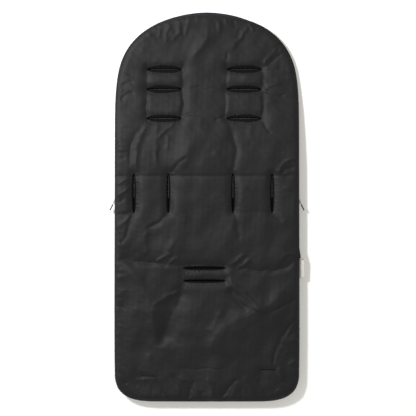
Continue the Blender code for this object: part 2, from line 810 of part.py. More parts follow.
def wing_sections(side, face_side):
    """Returns the loops of one wing of the slider, a plate with a flange along each edge."""
    channel = CHAIN_HEIGHT / 2
    inner_face = TOOTH_THICKNESS / 2 + WING_CLEARANCE
    flange_tip = TAPE_THICKNESS / 2 + FLANGE_TAPE_GAP
    tail, mouth = SLIDER_Y - SLIDER_LENGTH / 2, SLIDER_Y + SLIDER_LENGTH / 2
    neck = FLANGE_WIDTH
    sections = []
    for y, flange in (
        (tail, FLANGE_TAIL_WIDTH / 2),
        (tail + neck / 2, FLANGE_TAIL_WIDTH),
        (mouth - 2 * neck, FLANGE_WIDTH),
        (mouth - neck / 2, FLANGE_WIDTH),
        (mouth, FLANGE_TAIL_WIDTH),
    ):
        edge = channel + flange
        profile = [(WING_FACE, -edge), (WING_FACE, edge), (flange_tip, edge), (flange_tip, channel)]
        profile += [(inner_face, channel), (inner_face, -channel)]
        profile += [(flange_tip, -channel), (flange_tip, -edge)]
        sections.append(
            [(side * (CHAIN_X + face_side * out), y, CHAIN_Z + up) for out, up in profile]
        )
    return sections


def slider(side, name):
    """Builds one slider: two wings, the divider between them and the bridge on its face."""
    origin = (side * CHAIN_X, SLIDER_Y, CHAIN_Z)
    body = node(name, loft(wing_sections(side, 1)), black_enamel, origin=origin)
    bpy.context.view_layer.update()
    inner_wing = node(f"{name}_inner_wing", loft(wing_sections(side, -1)), black_enamel, body)

    mouth = SLIDER_Y + SLIDER_LENGTH / 2
    shoulder = mouth - DIVIDER_LENGTH / 2
    outline = [(DIVIDER_TIP_Y, -DIVIDER_NOSE / 2), (shoulder, -DIVIDER_HEIGHT / 2)]
    outline += [(mouth - GAP, -DIVIDER_HEIGHT / 2), (mouth - GAP, DIVIDER_HEIGHT / 2)]
    outline += [(shoulder, DIVIDER_HEIGHT / 2), (DIVIDER_TIP_Y, DIVIDER_NOSE / 2)]
    reach = WING_FACE - WING_THICKNESS / 2
    sections = [
        [(side * CHAIN_X + out, y, CHAIN_Z + up) for y, up in outline] for out in (-reach, reach)
    ]
    divider = node(f"{name}_divider", loft(sections), black_enamel, body)

    half, top = BRIDGE_LENGTH / 2, 2 * PULLER_STAND + BRIDGE_WALL
    hollow, under = half - BRIDGE_WALL, 2 * PULLER_STAND
    profile = [(-half, -BRIDGE_SINK), (-half, top - BRIDGE_WALL), (-half + BRIDGE_WALL, top)]
    profile += [(half - BRIDGE_WALL, top), (half, top - BRIDGE_WALL), (half, -BRIDGE_SINK)]
    profile += [(hollow, -BRIDGE_SINK), (hollow, under), (-hollow, under), (-hollow, -BRIDGE_SINK)]
    sections = [
        [(side * (CHAIN_X + WING_FACE + out), SLIDER_Y + y, CHAIN_Z + up) for y, out in profile]
        for up in (-BRIDGE_WIDTH / 2, BRIDGE_WIDTH / 2)
    ]
    bridge = node(f"{name}_bridge", loft(sections), black_enamel, body)
    for piece in (inner_wing, divider, bridge):
        combine(body, piece, "UNION")
    return body


def puller_grip(pin):
    """Returns the grip moulded round the puller's free end, chamfered and drawn in at its ends."""
    taper = GRIP_THICKNESS / 2
    stations = ((GRIP_START, 0.5), (GRIP_START + taper, 1.0))
    stations += ((PULLER_LENGTH - taper, 1.0), (PULLER_LENGTH, 0.5))
    sections = []
    for along, share in stations:
        out = share * GRIP_THICKNESS / 2
        up = GRIP_WIDTH / 2 - (1 - share) * GRIP_THICKNESS / 2
        chamfer = min(GRIP_CHAMFER, out / 2)
        profile = [(out, up - chamfer), (out - chamfer, up), (chamfer - out, up), (-out, up - chamfer)]
        profile += [(-a, -b) for a, b in profile]
        sections.append([pin + (a, -along, b) for a, b in profile])
    return loft(sections)


def puller(side, name, carrier):
    """Builds one puller, a tab with a moulded grip, whose end bar turns inside the bridge."""
    pin = np.array([side * (CHAIN_X + WING_FACE + PULLER_STAND), SLIDER_Y, CHAIN_Z])
    half, nose = PULLER_WIDTH / 2, PULLER_LENGTH - PULLER_WIDTH / 2
    outline = [(-PULLER_BAR / 2, half), (-PULLER_BAR / 2, -half)]
    for step in range(END_STEPS + 1):
        angle = -math.pi / 2 + math.pi * step / END_STEPS
        outline.append((nose + half * math.cos(angle), half * math.sin(angle)))

    def plate(loop, thickness):
        return loft(
            [[pin + (out, -along, up) for along, up in loop] for out in (-thickness, thickness)]
        )

    body = node(name, plate(outline, PULLER_THICKNESS / 2), black_enamel, carrier, pin)
    bpy.context.view_layer.update()
    bridge_top = PULLER_STAND + BRIDGE_WALL
    window_end = math.hypot(BRIDGE_LENGTH / 2, bridge_top) + GAP
    window_half = BRIDGE_WIDTH / 2 + GAP
    window = [(PULLER_BAR / 2, -window_half), (window_end, -window_half)]
    window += [(window_end, window_half), (PULLER_BAR / 2, window_half)]
    window_cut = node(f"{name}_window", plate(window, PULLER_THICKNESS), black_enamel, body)
    grip = node(f"{name}_grip", puller_grip(pin), black_enamel, body)
    combine(body, window_cut, "DIFFERENCE")
    combine(body, grip, "UNION")
    body.rotation_euler.z = side * math.radians(PULLER_REST_DEG)
    return body


def zips(hinge):
    """Builds the zip down each side: tapes, teeth, stops, slider and puller."""
    on_cover = {"parent": hinge, "origin": hinge.location}
    for side, word in ((-1, "left"), (1, "right")):
        zip_tape(f"{word}_back_tape", side, BACK_TAPE_LOW, BACK_TAPE_HIGH)
        zip_tape(f"{word}_apron_tape", side, COVER_TAPE_LOW, COVER_TAPE_HIGH, **on_cover)
        zip_teeth(f"{word}_back_teeth", side, BACK_TAPE_LOW - GAP, -1, 0.5)
        zip_teeth(f"{word}_apron_teeth", side, COVER_TAPE_HIGH + GAP, 1, 0.0, **on_cover)
        stop_y = WAIST_Y - STOP_LENGTH
        back_low, back_high = (stop_y, CHAIN_Z + GAP / 2), (WAIST_Y, BACK_TAPE_LOW - GAP)
        zip_stop(f"{word}_back_stop", side, back_low, back_high)
        cover_low, cover_high = (stop_y, COVER_TAPE_HIGH + GAP), (WAIST_Y, CHAIN_Z - GAP / 2)
        zip_stop(f"{word}_apron_stop", side, cover_low, cover_high, **on_cover)
        end_low = (CHAIN_LOW_Y - GAP - STOP_LENGTH, COVER_TAPE_HIGH + GAP)
        end_high = (CHAIN_LOW_Y - GAP, BACK_TAPE_LOW - GAP)
        zip_stop(f"{word}_bottom_stop", side, end_low, end_high)
        puller(side, f"{word}_puller", slider(side, f"{word}_slider"))


def main():
    """Builds the whole footmuff."""
    clear_scene()
    back_panel()
    slot_facings()
    bar_tacks()
    head_elastic()
    foot_section()
    side_label()
    zips(front_cover())


if __name__ == "__main__":
    main()
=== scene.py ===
"""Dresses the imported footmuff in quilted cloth, fleece, zips, tape and stitching.

Lengths are in metres, apart from those said to be in millimetres. X runs across, Y towards the
head end and Z up, and the footmuff lies on its front cover with its back up, as in the photograph.
"""

import json
import logging
import math
from dataclasses import dataclass, field
from enum import Enum
from typing import Callable, Iterable, Sequence

import bmesh
import bpy
import numpy as np
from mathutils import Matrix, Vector, kdtree
from mathutils.geometry import delaunay_2d_cdt

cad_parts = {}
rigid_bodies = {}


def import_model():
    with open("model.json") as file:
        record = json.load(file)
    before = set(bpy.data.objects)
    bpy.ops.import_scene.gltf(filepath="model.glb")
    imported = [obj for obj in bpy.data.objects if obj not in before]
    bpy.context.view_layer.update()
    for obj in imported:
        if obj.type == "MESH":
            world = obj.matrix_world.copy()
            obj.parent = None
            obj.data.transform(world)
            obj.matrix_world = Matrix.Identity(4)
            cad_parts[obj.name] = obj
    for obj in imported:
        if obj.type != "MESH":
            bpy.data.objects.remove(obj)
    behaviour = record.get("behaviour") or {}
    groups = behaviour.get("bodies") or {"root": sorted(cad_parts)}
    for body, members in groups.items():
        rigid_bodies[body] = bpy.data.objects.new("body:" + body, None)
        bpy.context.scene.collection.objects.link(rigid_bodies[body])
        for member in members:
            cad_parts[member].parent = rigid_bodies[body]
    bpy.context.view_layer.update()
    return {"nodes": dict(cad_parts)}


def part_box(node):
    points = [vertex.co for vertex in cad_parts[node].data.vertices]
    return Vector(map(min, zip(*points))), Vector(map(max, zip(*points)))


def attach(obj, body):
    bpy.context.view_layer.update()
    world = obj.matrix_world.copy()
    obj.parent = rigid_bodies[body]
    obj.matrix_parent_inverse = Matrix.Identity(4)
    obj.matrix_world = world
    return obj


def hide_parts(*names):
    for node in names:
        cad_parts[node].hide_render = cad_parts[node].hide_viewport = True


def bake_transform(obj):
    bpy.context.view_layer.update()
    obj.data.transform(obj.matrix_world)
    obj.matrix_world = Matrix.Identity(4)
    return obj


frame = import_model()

LOG = logging.getLogger("footmuff")
MM = 0.001

Points = np.ndarray
Level = Callable[[Points], Points]

# How far inside the seam the fleece's edge lies where a zip's tape is sewn in
TAPE_ALLOWANCE = 2.6 * MM

# How far apart the points of the outline are
EDGE_STEP = 3.0 * MM

# How far from a seam its gathers stand up fully
SEWN_REACH = 2.5 * MM

# Up to this angle between faces a rigid piece is shaded as round
SMOOTH_ANGLE = math.radians(35)

# The photograph: where the middle of the footmuff lies in it, and what a pixel measures there
PHOTO_MIDDLE = (207.0, 207.1)
PIXEL = 2.447 * MM


def from_photo(x: float, y: float) -> tuple[float, float]:
    """Turns a place in the photograph into a place on the footmuff.

    Args:
        x: Pixels from the photograph's left edge.
        y: Pixels from its top edge.

    Returns:
        The place in the frame, in metres.
    """
    return (x - PHOTO_MIDDLE[0]) * PIXEL, (PHOTO_MIDDLE[1] - y) * PIXEL


def linear(code: str) -> tuple[float, float, float, float]:
    """Turns an sRGB hex value into a linear colour.

    Args:
        code: Six hex digits, such as "2e2e30".

    Returns:
        Red, green, blue and alpha.
    """
    channels = [int(code[start : start + 2], 16) / 255 for start in (0, 2, 4)]
    made = [c / 12.92 if c <= 0.04045 else ((c + 0.055) / 1.055) ** 2.4 for c in channels]
    return made[0], made[1], made[2], 1.0


def add(tree: bpy.types.NodeTree, kind: str, inputs: dict | None = None, **settings) -> bpy.types.Node:
    """Adds one shader node.

    Args:
        tree: The tree that gets the node.
        kind: The node's type, such as "ShaderNodeTexNoise".
        inputs: Socket names, each with a value, or with an output socket to link.
        settings: Attributes of the node itself.

    Returns:
        The new node.
    """
    node = tree.nodes.new(kind)
    for name, value in settings.items():
        setattr(node, name, value)
    for name, value in (inputs or {}).items():
        if isinstance(value, bpy.types.NodeSocket):
            tree.links.new(value, node.inputs[name])
        else:
            node.inputs[name].default_value = value
    return node


def maths(tree: bpy.types.NodeTree, operation: str, *values) -> bpy.types.NodeSocket:
    """Adds a calculation with numbers or sockets, and returns its outcome."""
    return add(tree, "ShaderNodeMath", dict(enumerate(values)), operation=operation).outputs[0]


def noise(tree: bpy.types.NodeTree, place: bpy.types.NodeSocket, scale: float, **more) -> bpy.types.NodeSocket:
    """Adds a noise texture, and returns its value."""
    return add(tree, "ShaderNodeTexNoise", {"Vector": place, "Scale": scale, **more}).outputs["Fac"]


class Ripples:
    """A smooth random height field, the sum of seeded waves."""

    def __init__(self, seed: int, wavelength: float, count: int = 14, stretch: float = 1.0) -> None:
        """Draws the waves.

        Args:
            seed: Which field is drawn.
            wavelength: The middle wavelength.
            count: How many waves are summed.
            stretch: How much longer the ripples are along Y than across.
        """
        draw = np.random.default_rng(seed)
        turns = draw.uniform(0, math.tau, count)
        lengths = wavelength * draw.uniform(0.6, 1.7, count)
        self.waves = np.stack([np.cos(turns), np.sin(turns) / stretch], axis=1) * (math.tau / lengths)[:, None]
        self.phases = draw.uniform(0, math.tau, count)
        self.scale = math.sqrt(2 / count)

    def __call__(self, points: Points) -> Points:
        """Returns the field at each point, about -1 to 1."""
        return self.scale * np.sin(points @ self.waves.T + self.phases).sum(axis=1)


def swaying(seed: int, wavelength: float, along: Points) -> Points:
    """Returns a smooth random wave along a line, about -1 to 1."""
    return Ripples(seed, wavelength)(np.column_stack([along, np.zeros(len(along))]))


class Rough(Enum):
    """How closely a cloth face is divided."""

    FINE = 2.6 * MM
    MEDIUM = 5.0 * MM


@dataclass(frozen=True)
class Fold:
    """A fold that the photograph shows, as a line through it.

    Attributes:
        places: Points along the fold, in the photograph's pixels.
        lift: How far the cloth rises along it, in millimetres, below zero for a crease.
        reach: How far to each side it fades, in millimetres.
        sharp: The reach on its left side as it runs, where that differs.
    """

    places: tuple[tuple[float, float], ...]
    lift: float
    reach: float
    sharp: float | None = None

    # The fold's profile: how many reaches it spans, how round its crest is, and how steeply it falls
    span = 3.4
    crest = 0.9 * MM
    fall = 1.4

    # How much narrower it is at its ends, and how much it varies along its length
    narrowed = 0.4
    variation = 0.2

    def line(self) -> Points:
        """Returns close points along the fold, on a smooth curve through its places."""
        marks = np.array([from_photo(*place) for place in self.places])
        return smooth_path(marks, 4 * MM)

    def uneven(self, along: Points, turns: float, phase: float) -> Points:
        """Returns a factor near 1 that varies along the fold."""
        return 1 + self.variation * np.sin(turns * along + phase)

    def height(self, points: Points) -> Points:
        """Returns how far the fold lifts each point."""
        line = self.line()
        left = (self.reach if self.sharp is None else self.sharp) * MM
        right = self.reach * MM
        margin = self.span * max(left, right)
        near = np.all((points > line.min(axis=0) - margin) & (points < line.max(axis=0) + margin), axis=1)
        lifted = np.zeros(len(points))
        if not near.any():
            return lifted
        some = points[near]
        starts, runs = line[:-1], np.diff(line, axis=0)
        offset = some[:, None] - starts[None]
        share = np.clip((offset * runs).sum(axis=2) / (runs**2).sum(axis=1), 0, 1)
        away = offset - share[..., None] * runs
        distance = np.hypot(away[..., 0], away[..., 1])
        best = distance.argmin(axis=1)
        rows = np.arange(len(some))
        side = runs[best, 0] * away[rows, best, 1] - runs[best, 1] * away[rows, best, 0]
        reach = np.where(side > 0, left, right)
        along = (best + share[rows, best]) / len(runs)
        fade = np.clip(np.minimum(along, 1 - along) * 5, 0, 1)
        ends = np.sin(fade * math.pi / 2)
        x, y = self.places[0]
        reach = reach * (1 - self.narrowed + self.narrowed * ends) * self.uneven(along, 7, 31 * y)
        steady = np.sqrt(distance[rows, best] ** 2 + self.crest**2) - self.crest
        profile = np.exp(-((steady / reach) ** self.fall))
        lifted[near] = self.lift * MM * profile * ends * self.uneven(along, 9, 70 * x)
        return lifted


def distances(path: Points) -> Points:
    """Returns how far along a path each of its points lies."""
    return np.concatenate([[0.0], np.cumsum(np.linalg.norm(np.diff(path, axis=0), axis=1))])


def walked(path: Points, wanted: Points) -> Points:
    """Returns the places on a path at the wanted distances along it."""
    along = distances(path)
    return np.stack([np.interp(wanted, along, column) for column in path.T], axis=1)


def smooth_path(marks: Points, step: float, closed: bool = False) -> Points:
    """Draws a Catmull-Rom curve through marks and walks along it at even steps.

    Args:
        marks: Two or more points.
        step: About how far apart the walked points are.
        closed: Whether the curve returns to its first mark.

    Returns:
        The walked points, which for a closed curve leave out the repeated first one.
    """
    if closed:
        guide = np.concatenate([marks[-1:], marks, marks[:2]])
    else:
        guide = np.concatenate([2 * marks[:1] - marks[1:2], marks, 2 * marks[-1:] - marks[-2:-1]])
    t = np.linspace(0, 1, 16, endpoint=False)[:, None]
    runs = []
    for a, b, c, d in zip(guide, guide[1:], guide[2:], guide[3:]):
        square, cube = 2 * a - 5 * b + 4 * c - d, 3 * b - a - 3 * c + d
        runs.append(0.5 * (2 * b + (c - a) * t + square * t**2 + cube * t**3))
    fine = np.concatenate([*runs, marks[:1] if closed else marks[-1:]])
    length = distances(fine)[-1]
    even = walked(fine, np.linspace(0, length, max(2, round(length / step)) + 1))
    return even[:-1] if closed else even


def rounded(loop: Points, step: float) -> Points:
    """Draws a smooth closed curve through uneven marks and walks round it at even steps.

    Args:
        loop: The marks, in order.
        step: How far apart the walked points are.

    Returns:
        The walked points.
    """
    a, b, c, d = (np.roll(loop, shift, axis=0)[:, None] for shift in (1, 0, -1, -2))
    spans = ((a, b), (b, c), (c, d))
    ab, bc, cd = (np.sqrt(np.linalg.norm(to - go, axis=2, keepdims=True)) for go, to in spans)
    t = np.linspace(0, 1, 24, endpoint=False)[None, :, None] * bc
    first, second, third = b + (b - a) / ab * t, b + (c - b) / bc * t, c + (d - c) / cd * (t - bc)
    left = first + (second - first) * (t + ab) / (ab + bc)
    right = second + (third - second) * t / (bc + cd)
    curve = (left + (right - left) * t / bc).reshape(-1, 2)
    closed = np.concatenate([curve, curve[:1]])
    length = distances(closed)[-1]
    even = walked(closed, np.linspace(0, length, round(length / step), endpoint=False))
    for _ in range(2):
        even = (np.roll(even, 1, axis=0) + 2 * even + np.roll(even, -1, axis=0)) / 4
    return even


def inset(loop: Points, distance: float) -> Points:
    """Moves a closed anticlockwise loop inwards.

    Args:
        loop: The loop's points.
        distance: How far they move, square to the loop.

    Returns:
        The moved points.
    """
    run = np.roll(loop, -1, axis=0) - np.roll(loop, 1, axis=0)
    run /= np.linalg.norm(run, axis=1, keepdims=True)
    return loop + distance * np.stack([-run[:, 1], run[:, 0]], axis=1)


def cut_off(loop: Points, limit: float) -> Points:
    """Returns the part of a closed loop whose Y is below a limit, in one run."""
    keep = loop[:, 1] < limit
    first = int(np.flatnonzero(keep & ~np.roll(keep, 1))[0])
    return np.roll(loop, -first, axis=0)[: int(keep.sum())]


def cad_loops(node: str) -> list[Points]:
    """Reads the edge loops of a cloth node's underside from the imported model.

    Args:
        node: The CAD node's name.

    Returns:
        One loop of points for each edge, the longest first.
    """
    mesh = frame["nodes"][node].data
    keys: dict[tuple, int] = {}
    places: list[tuple] = []
    uses: dict[tuple[int, int], int] = {}
    for face in mesh.polygons:
        if face.normal.z > -0.5:
            continue
        corners = []
        for vertex in face.vertices:
            place = tuple(round(value, 6) for value in mesh.vertices[vertex].co)
            if place not in keys:
                keys[place] = len(places)
                places.append(place)
            corners.append(keys[place])
        for a, b in zip(corners, corners[1:] + corners[:1]):
            uses[a, b] = uses.get((a, b), 0) + 1
    after = {a: b for a, b in uses if (b, a) not in uses}
    loops = []
    while after:
        start, step = next(iter(after.items()))
        del after[start]
        loop = [start]
        while step != start:
            loop.append(step)
            step = after.pop(step)
        loops.append(np.array([places[index] for index in loop]))
    return sorted(loops, key=lambda loop: -np.ptp(loop[:, 1]) - np.ptp(loop[:, 0]))


def anticlockwise(loop: Points) -> Points:
    """Returns a closed loop so that it runs anticlockwise as seen from above."""
    x, y = loop[:, 0], loop[:, 1]
    area = np.sum(x * np.roll(y, -1) - np.roll(x, -1) * y)
    return loop if area > 0 else loop[::-1]


class Edge:
    """The footmuff's outline, smooth, with the height of its seams along the length."""

    def __init__(self) -> None:
        """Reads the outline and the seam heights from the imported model."""
        lining, shell = cad_loops("back_lining")[0], cad_loops("back_shell")[0]
        self.loop = rounded(anticlockwise(lining)[:, :2], EDGE_STEP)
        self.lining_y, self.lining_z = self.profile(lining)
        self.shell_y, self.shell_z = self.profile(shell)
        self.along = distances(self.loop)
        self.tree = kdtree.KDTree(len(self.loop))
        for index, (x, y) in enumerate(self.loop):
            self.tree.insert((x, y, 0.0), index)
        self.tree.balance()
        self.length = float(np.linalg.norm(np.diff(self.loop, axis=0, append=self.loop[:1]), axis=1).sum())
        self.half = float(self.loop[:, 0].max())
        self.head = float(self.loop[:, 1].max())

    @staticmethod
    def profile(loop: Points) -> tuple[Points, Points]:
        """Returns a loop's heights in order along Y."""
        order = np.argsort(loop[:, 1], kind="stable")
        return loop[order, 1], loop[order, 2]

    def lining_seam(self, points: Points) -> Points:
        """Returns the height of the lining's underside at the seam beside each point."""
        return np.interp(points[:, 1], self.lining_y, self.lining_z)

    def shell_seam(self, points: Points) -> Points:
        """Returns the height of the shell's underside at the seam beside each point."""
        return np.interp(points[:, 1], self.shell_y, self.shell_z)

    def measure(self, points: Points) -> tuple[Points, Points]:
        """Finds the nearest place on the outline.

        Args:
            points: Places on the footmuff.

        Returns:
            How far away the outline is, and how far along it the nearest place lies.
        """
        found = [self.tree.find((x, y, 0.0)) for x, y in points]
        index = np.array([hit[1] for hit in found], dtype=int)
        return np.array([hit[2] for hit in found]), self.along[index]


@dataclass(frozen=True)
class Slot:
    """A harness slot, placed by the CAD facing that lines it.

    Attributes:
        name: What the slot is called.
        x: Its middle across.
        y: Its middle along.
        half_length: Half its length between the sewn ends.
        half_width: Half its width at its widest.
        upright: Whether it runs along Y.
    """

    name: str
    x: float
    y: float
    half_length: float
    half_width: float
    upright: bool

    # How blunt its ends are: an ellipse has 1
    bluntness = 0.75

    @classmethod
    def of(cls, node: str) -> "Slot":
        """Returns the slot that a CAD facing lines."""
        low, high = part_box(node)
        half = (high - low) / 2
        upright = half.y > half.x
        length, width = (half.y, half.x) if upright else (half.x, half.y)
        middle = (low + high) / 2
        return cls(node.removesuffix("_slot_facing"), middle.x, middle.y, length, width, upright)

    @property
    def gapes(self) -> bool:
        """Says whether the slot stands open far enough to show the fleece in it."""
        return "shoulder" in self.name

    @property
    def narrowing(self) -> float:
        """Returns how far the sleeve of stitching closes in on the slot, as each row shows it."""
        row = self.name.rsplit("_", 1)[1]
        return {"upper": 2.5, "middle": 1.8, "lower": 2.2}[row] if self.gapes else 1.9

    def local(self, points: Points) -> Points:
        """Returns each point's place along and across the slot."""
        offset = points - np.array([self.x, self.y])
        return offset[:, ::-1] if self.upright else offset

    def place(self, local: Points) -> Points:
        """Turns places along and across the slot into places on the footmuff."""
        return (local[:, ::-1] if self.upright else local) + np.array([self.x, self.y])

    def loop(self, grow: float, step: float = 1.8 * MM) -> Points:
        """Walks round the slot.

        Args:
            grow: How far outside the slot's edge the walk goes.
            step: About how far apart its points are.

        Returns:
            The points, anticlockwise as seen from above.
        """
        count = 4 * round(self.half_length / step)
        turn = np.linspace(0, math.tau, count, endpoint=False)
        u = np.cos(turn)
        v = np.sign(np.sin(turn)) * np.abs(np.sin(turn)) ** self.bluntness
        reach = np.array([self.half_length + grow, self.half_width + grow])
        even = smooth_path(self.place(np.stack([u, v], axis=1) * reach), step, closed=True)
        even = even[: len(even) // 2 * 2]
        return anticlockwise(even)

    def distance(self, points: Points) -> Points:
        """Returns how far each point lies from the slot's middle line."""
        local = self.local(points)
        past = np.clip(np.abs(local[:, 0]) - self.half_length + self.half_width, 0, None)
        return np.hypot(past, local[:, 1])


def triangulate(loops: Sequence[Points], loose: Points) -> tuple[Points, Points]:
    """Triangulates the region inside the first loop and outside the others.

    Args:
        loops: Closed loops, whose edges are kept.
        loose: More points inside the region.

    Returns:
        The points, with the loops' first and in order, and the triangles.
    """
    edges, first = [], 0
    for loop in loops:
        count = len(loop)
        edges += [(first + step, first + (step + 1) % count) for step in range(count)]
        first += count
    points = np.concatenate([*loops, loose]) if len(loose) else np.concatenate(loops)
    made = delaunay_2d_cdt([tuple(place) for place in points], edges, [], 1, 1e-7)
    places = np.array([tuple(place) for place in made[0]])
    faces = np.array([list(face) for face in made[2]])
    if len(places) != len(points):
        raise ValueError(f"the loops cross: {len(places)} points came of {len(points)}")
    middles = places[faces].mean(axis=1)
    keep = np.ones(len(faces), bool)
    for hole in loops[1:]:
        low, high = hole.min(axis=0), hole.max(axis=0)
        near = np.flatnonzero(np.all((middles > low) & (middles < high), axis=1))
        keep[near] &= ~inside(middles[near], hole)
    return places, faces[keep]


def inside(points: Points, loop: Points) -> Points:
    """Tells which points lie inside a closed loop, a few thousand at a time."""
    end = np.roll(loop, -1, axis=0)
    rises = end[:, 1] - loop[:, 1]
    rises = np.where(rises == 0, np.inf, rises)
    found = [np.zeros(0, bool)]
    batch = 4000
    for start in range(0, len(points), batch):
        x, y = points[start : start + batch, :1], points[start : start + batch, 1:]
        crosses = (loop[:, 1] > y) != (end[:, 1] > y)
        meet = loop[:, 0] + (y - loop[:, 1]) / rises * (end[:, 0] - loop[:, 0])
        found.append(np.sum(crosses & (x < meet), axis=1) % 2 == 1)
    return np.concatenate(found)


def hexagons(low: Points, high: Points, spacing: float) -> Points:
    """Returns evenly spread points in staggered rows between two corners."""
    rise = spacing * math.sqrt(3) / 2
    ys = np.arange(low[1], high[1], rise)
    xs = np.arange(low[0], high[0], spacing)
    shifts = [spacing / 2 * (row % 2) for row in range(len(ys))]
    return np.concatenate([np.column_stack([xs + shift, np.full(len(xs), y)]) for shift, y in zip(shifts, ys)])


def placed(name: str, data: bpy.types.ID) -> bpy.types.Object:
    """Adds an object to the scene, and returns it."""
    obj = bpy.data.objects.new(name, data)
    bpy.context.scene.collection.objects.link(obj)
    return obj


def finished(name: str, form: bmesh.types.BMesh) -> bpy.types.Object:
    """Turns an edited mesh into an object."""
    mesh = bpy.data.meshes.new(name)
    form.to_mesh(mesh)
    form.free()
    return placed(name, mesh)


def mesh_object(name: str, points: Iterable, faces: Iterable) -> bpy.types.Object:
    """Makes an object whose faces all point outwards.

    Args:
        name: The object's name.
        points: Its corners.
        faces: The corners of each face.

    Returns:
        The object, shaded smooth.
    """
    form = bmesh.new()
    verts = [form.verts.new(place) for place in points]
    for face in faces:
        form.faces.new([verts[index] for index in face])
    bmesh.ops.recalc_face_normals(form, faces=form.faces)
    obj = finished(name, form)
    obj.data.shade_smooth()
    return obj


@dataclass
class Panel:
    """A closed cloth body between two heights, with one face that shows.

    Attributes:
        name: The piece's name.
        outline: Its closed edge.
        shown: The height of the face that shows.
        hidden: The height of the other face.
        holes: Closed loops that go right through.
        rough: How closely the shown face is divided.
        twin: Whether the other face is divided as closely, or plainly.
        tuck: How far the edge of the other face is drawn in under the shown one.
        rings: How far inside the edge the rows that shape its roll lie.
        hole_rings: The same round each hole.
    """

    name: str
    outline: Points
    shown: Level
    hidden: Level
    holes: list[Points] = field(default_factory=list)
    rough: Rough = Rough.FINE
    twin: bool = False
    tuck: float = 1.0 * MM
    rings: tuple[float, ...] = (0.4 * MM, 1.1 * MM, 2.2 * MM, 3.8 * MM, 6.0 * MM, 8.6 * MM)
    hole_rings: tuple[float, ...] = (0.5 * MM, 1.3 * MM, 2.5 * MM, 4.2 * MM, 6.4 * MM)

    def fill(self) -> Points:
        """Returns the loose points of the shown face: its rings, then staggered rows."""
        rows = [inset(self.outline, distance) for distance in self.rings]
        around = [inset(hole, -distance) for hole in self.holes for distance in self.hole_rings]
        spacing = self.rough.value
        guard = 0.6 * spacing
        spread = hexagons(self.outline.min(axis=0), self.outline.max(axis=0), spacing)
        limit = inset(self.outline, self.rings[-1] + guard)
        spread = spread[inside(spread, limit)]
        for hole in self.holes:
            wide = inset(hole, -self.hole_rings[-1] - guard)
            low, high = wide.min(axis=0), wide.max(axis=0)
            near = np.flatnonzero(np.all((spread > low) & (spread < high), axis=1))
            spread = np.delete(spread, near[inside(spread[near], wide)], axis=0)
        return np.concatenate([*rows, *around, spread])

    def build(self) -> bpy.types.Object:
        """Makes the panel.

        Returns:
            The object, closed and shaded smooth.
        """
        loops = [self.outline, *self.holes]
        flat, faces = triangulate(loops, self.fill())
        under, under_faces = flat, faces
        if not self.twin:
            plain = [inset(self.outline, self.tuck), *self.holes]
            under, under_faces = triangulate(plain, np.zeros((0, 2)))
        count = len(flat)
        top = np.column_stack([flat, self.shown(flat)])
        bottom = np.column_stack([under, self.hidden(under)])
        every = [*faces.tolist(), *(under_faces[:, ::-1] + count).tolist()]
        first = 0
        for loop in loops:
            size = len(loop)
            for step in range(size):
                a, b = first + step, first + (step + 1) % size
                every.append((a, b, b + count, a + count))
            first += size
        return mesh_object(self.name, [*top.tolist(), *bottom.tolist()], every)


def banded(name: str, rings: Sequence[Points], closed: bool = True) -> bpy.types.Object:
    """Joins rings of points, each to the next.

    Args:
        name: The object's name.
        rings: Rings with one count of points each.
        closed: Whether the last ring joins the first, or both ends are filled.

    Returns:
        The object.
    """
    size = len(rings[0])
    points = [tuple(place) for ring in rings for place in ring]
    faces: list[tuple[int, ...]] = []
    pairs = len(rings) if closed else len(rings) - 1
    for row in range(pairs):
        here, there = row * size, (row + 1) % len(rings) * size
        for step in range(size):
            after = (step + 1) % size
            faces.append((here + step, here + after, there + after, there + step))
    if not closed:
        faces += [tuple(range(size)), tuple(range(len(points) - size, len(points)))]
    return mesh_object(name, points, faces)


@dataclass
class Ribbon:
    """A woven strip that follows a line.

    Attributes:
        name: The piece's name.
        centre: Points along its middle.
        across: The way its width runs at each point, of length one.
        facing: The way its face looks at each point, of length one.
        width: Its width.
        thickness: Its thickness.
        columns: How many points it has across.
        waves: How far each of its points moves the way its face looks.
    """

    name: str
    centre: Points
    across: Points
    facing: Points
    width: float
    thickness: float
    columns: int = 5
    waves: Points | None = None

    def build(self) -> bpy.types.Object:
        """Makes the strip, with thin rounded selvedges."""
        share = np.linspace(-1, 1, self.columns)
        moved = np.zeros((len(self.centre), self.columns)) if self.waves is None else self.waves
        half = self.thickness / 2 * np.where(np.abs(share) == 1, 0.55, 1.0)
        base = self.centre[:, None] + share[None, :, None] * self.width / 2 * self.across[:, None]
        front = base + (moved + half)[..., None] * self.facing[:, None]
        rear = base + (moved - half)[..., None] * self.facing[:, None]
        rings = [np.concatenate([a, b[::-1]]) for a, b in zip(front, rear)]
        return banded(self.name, rings, closed=False)


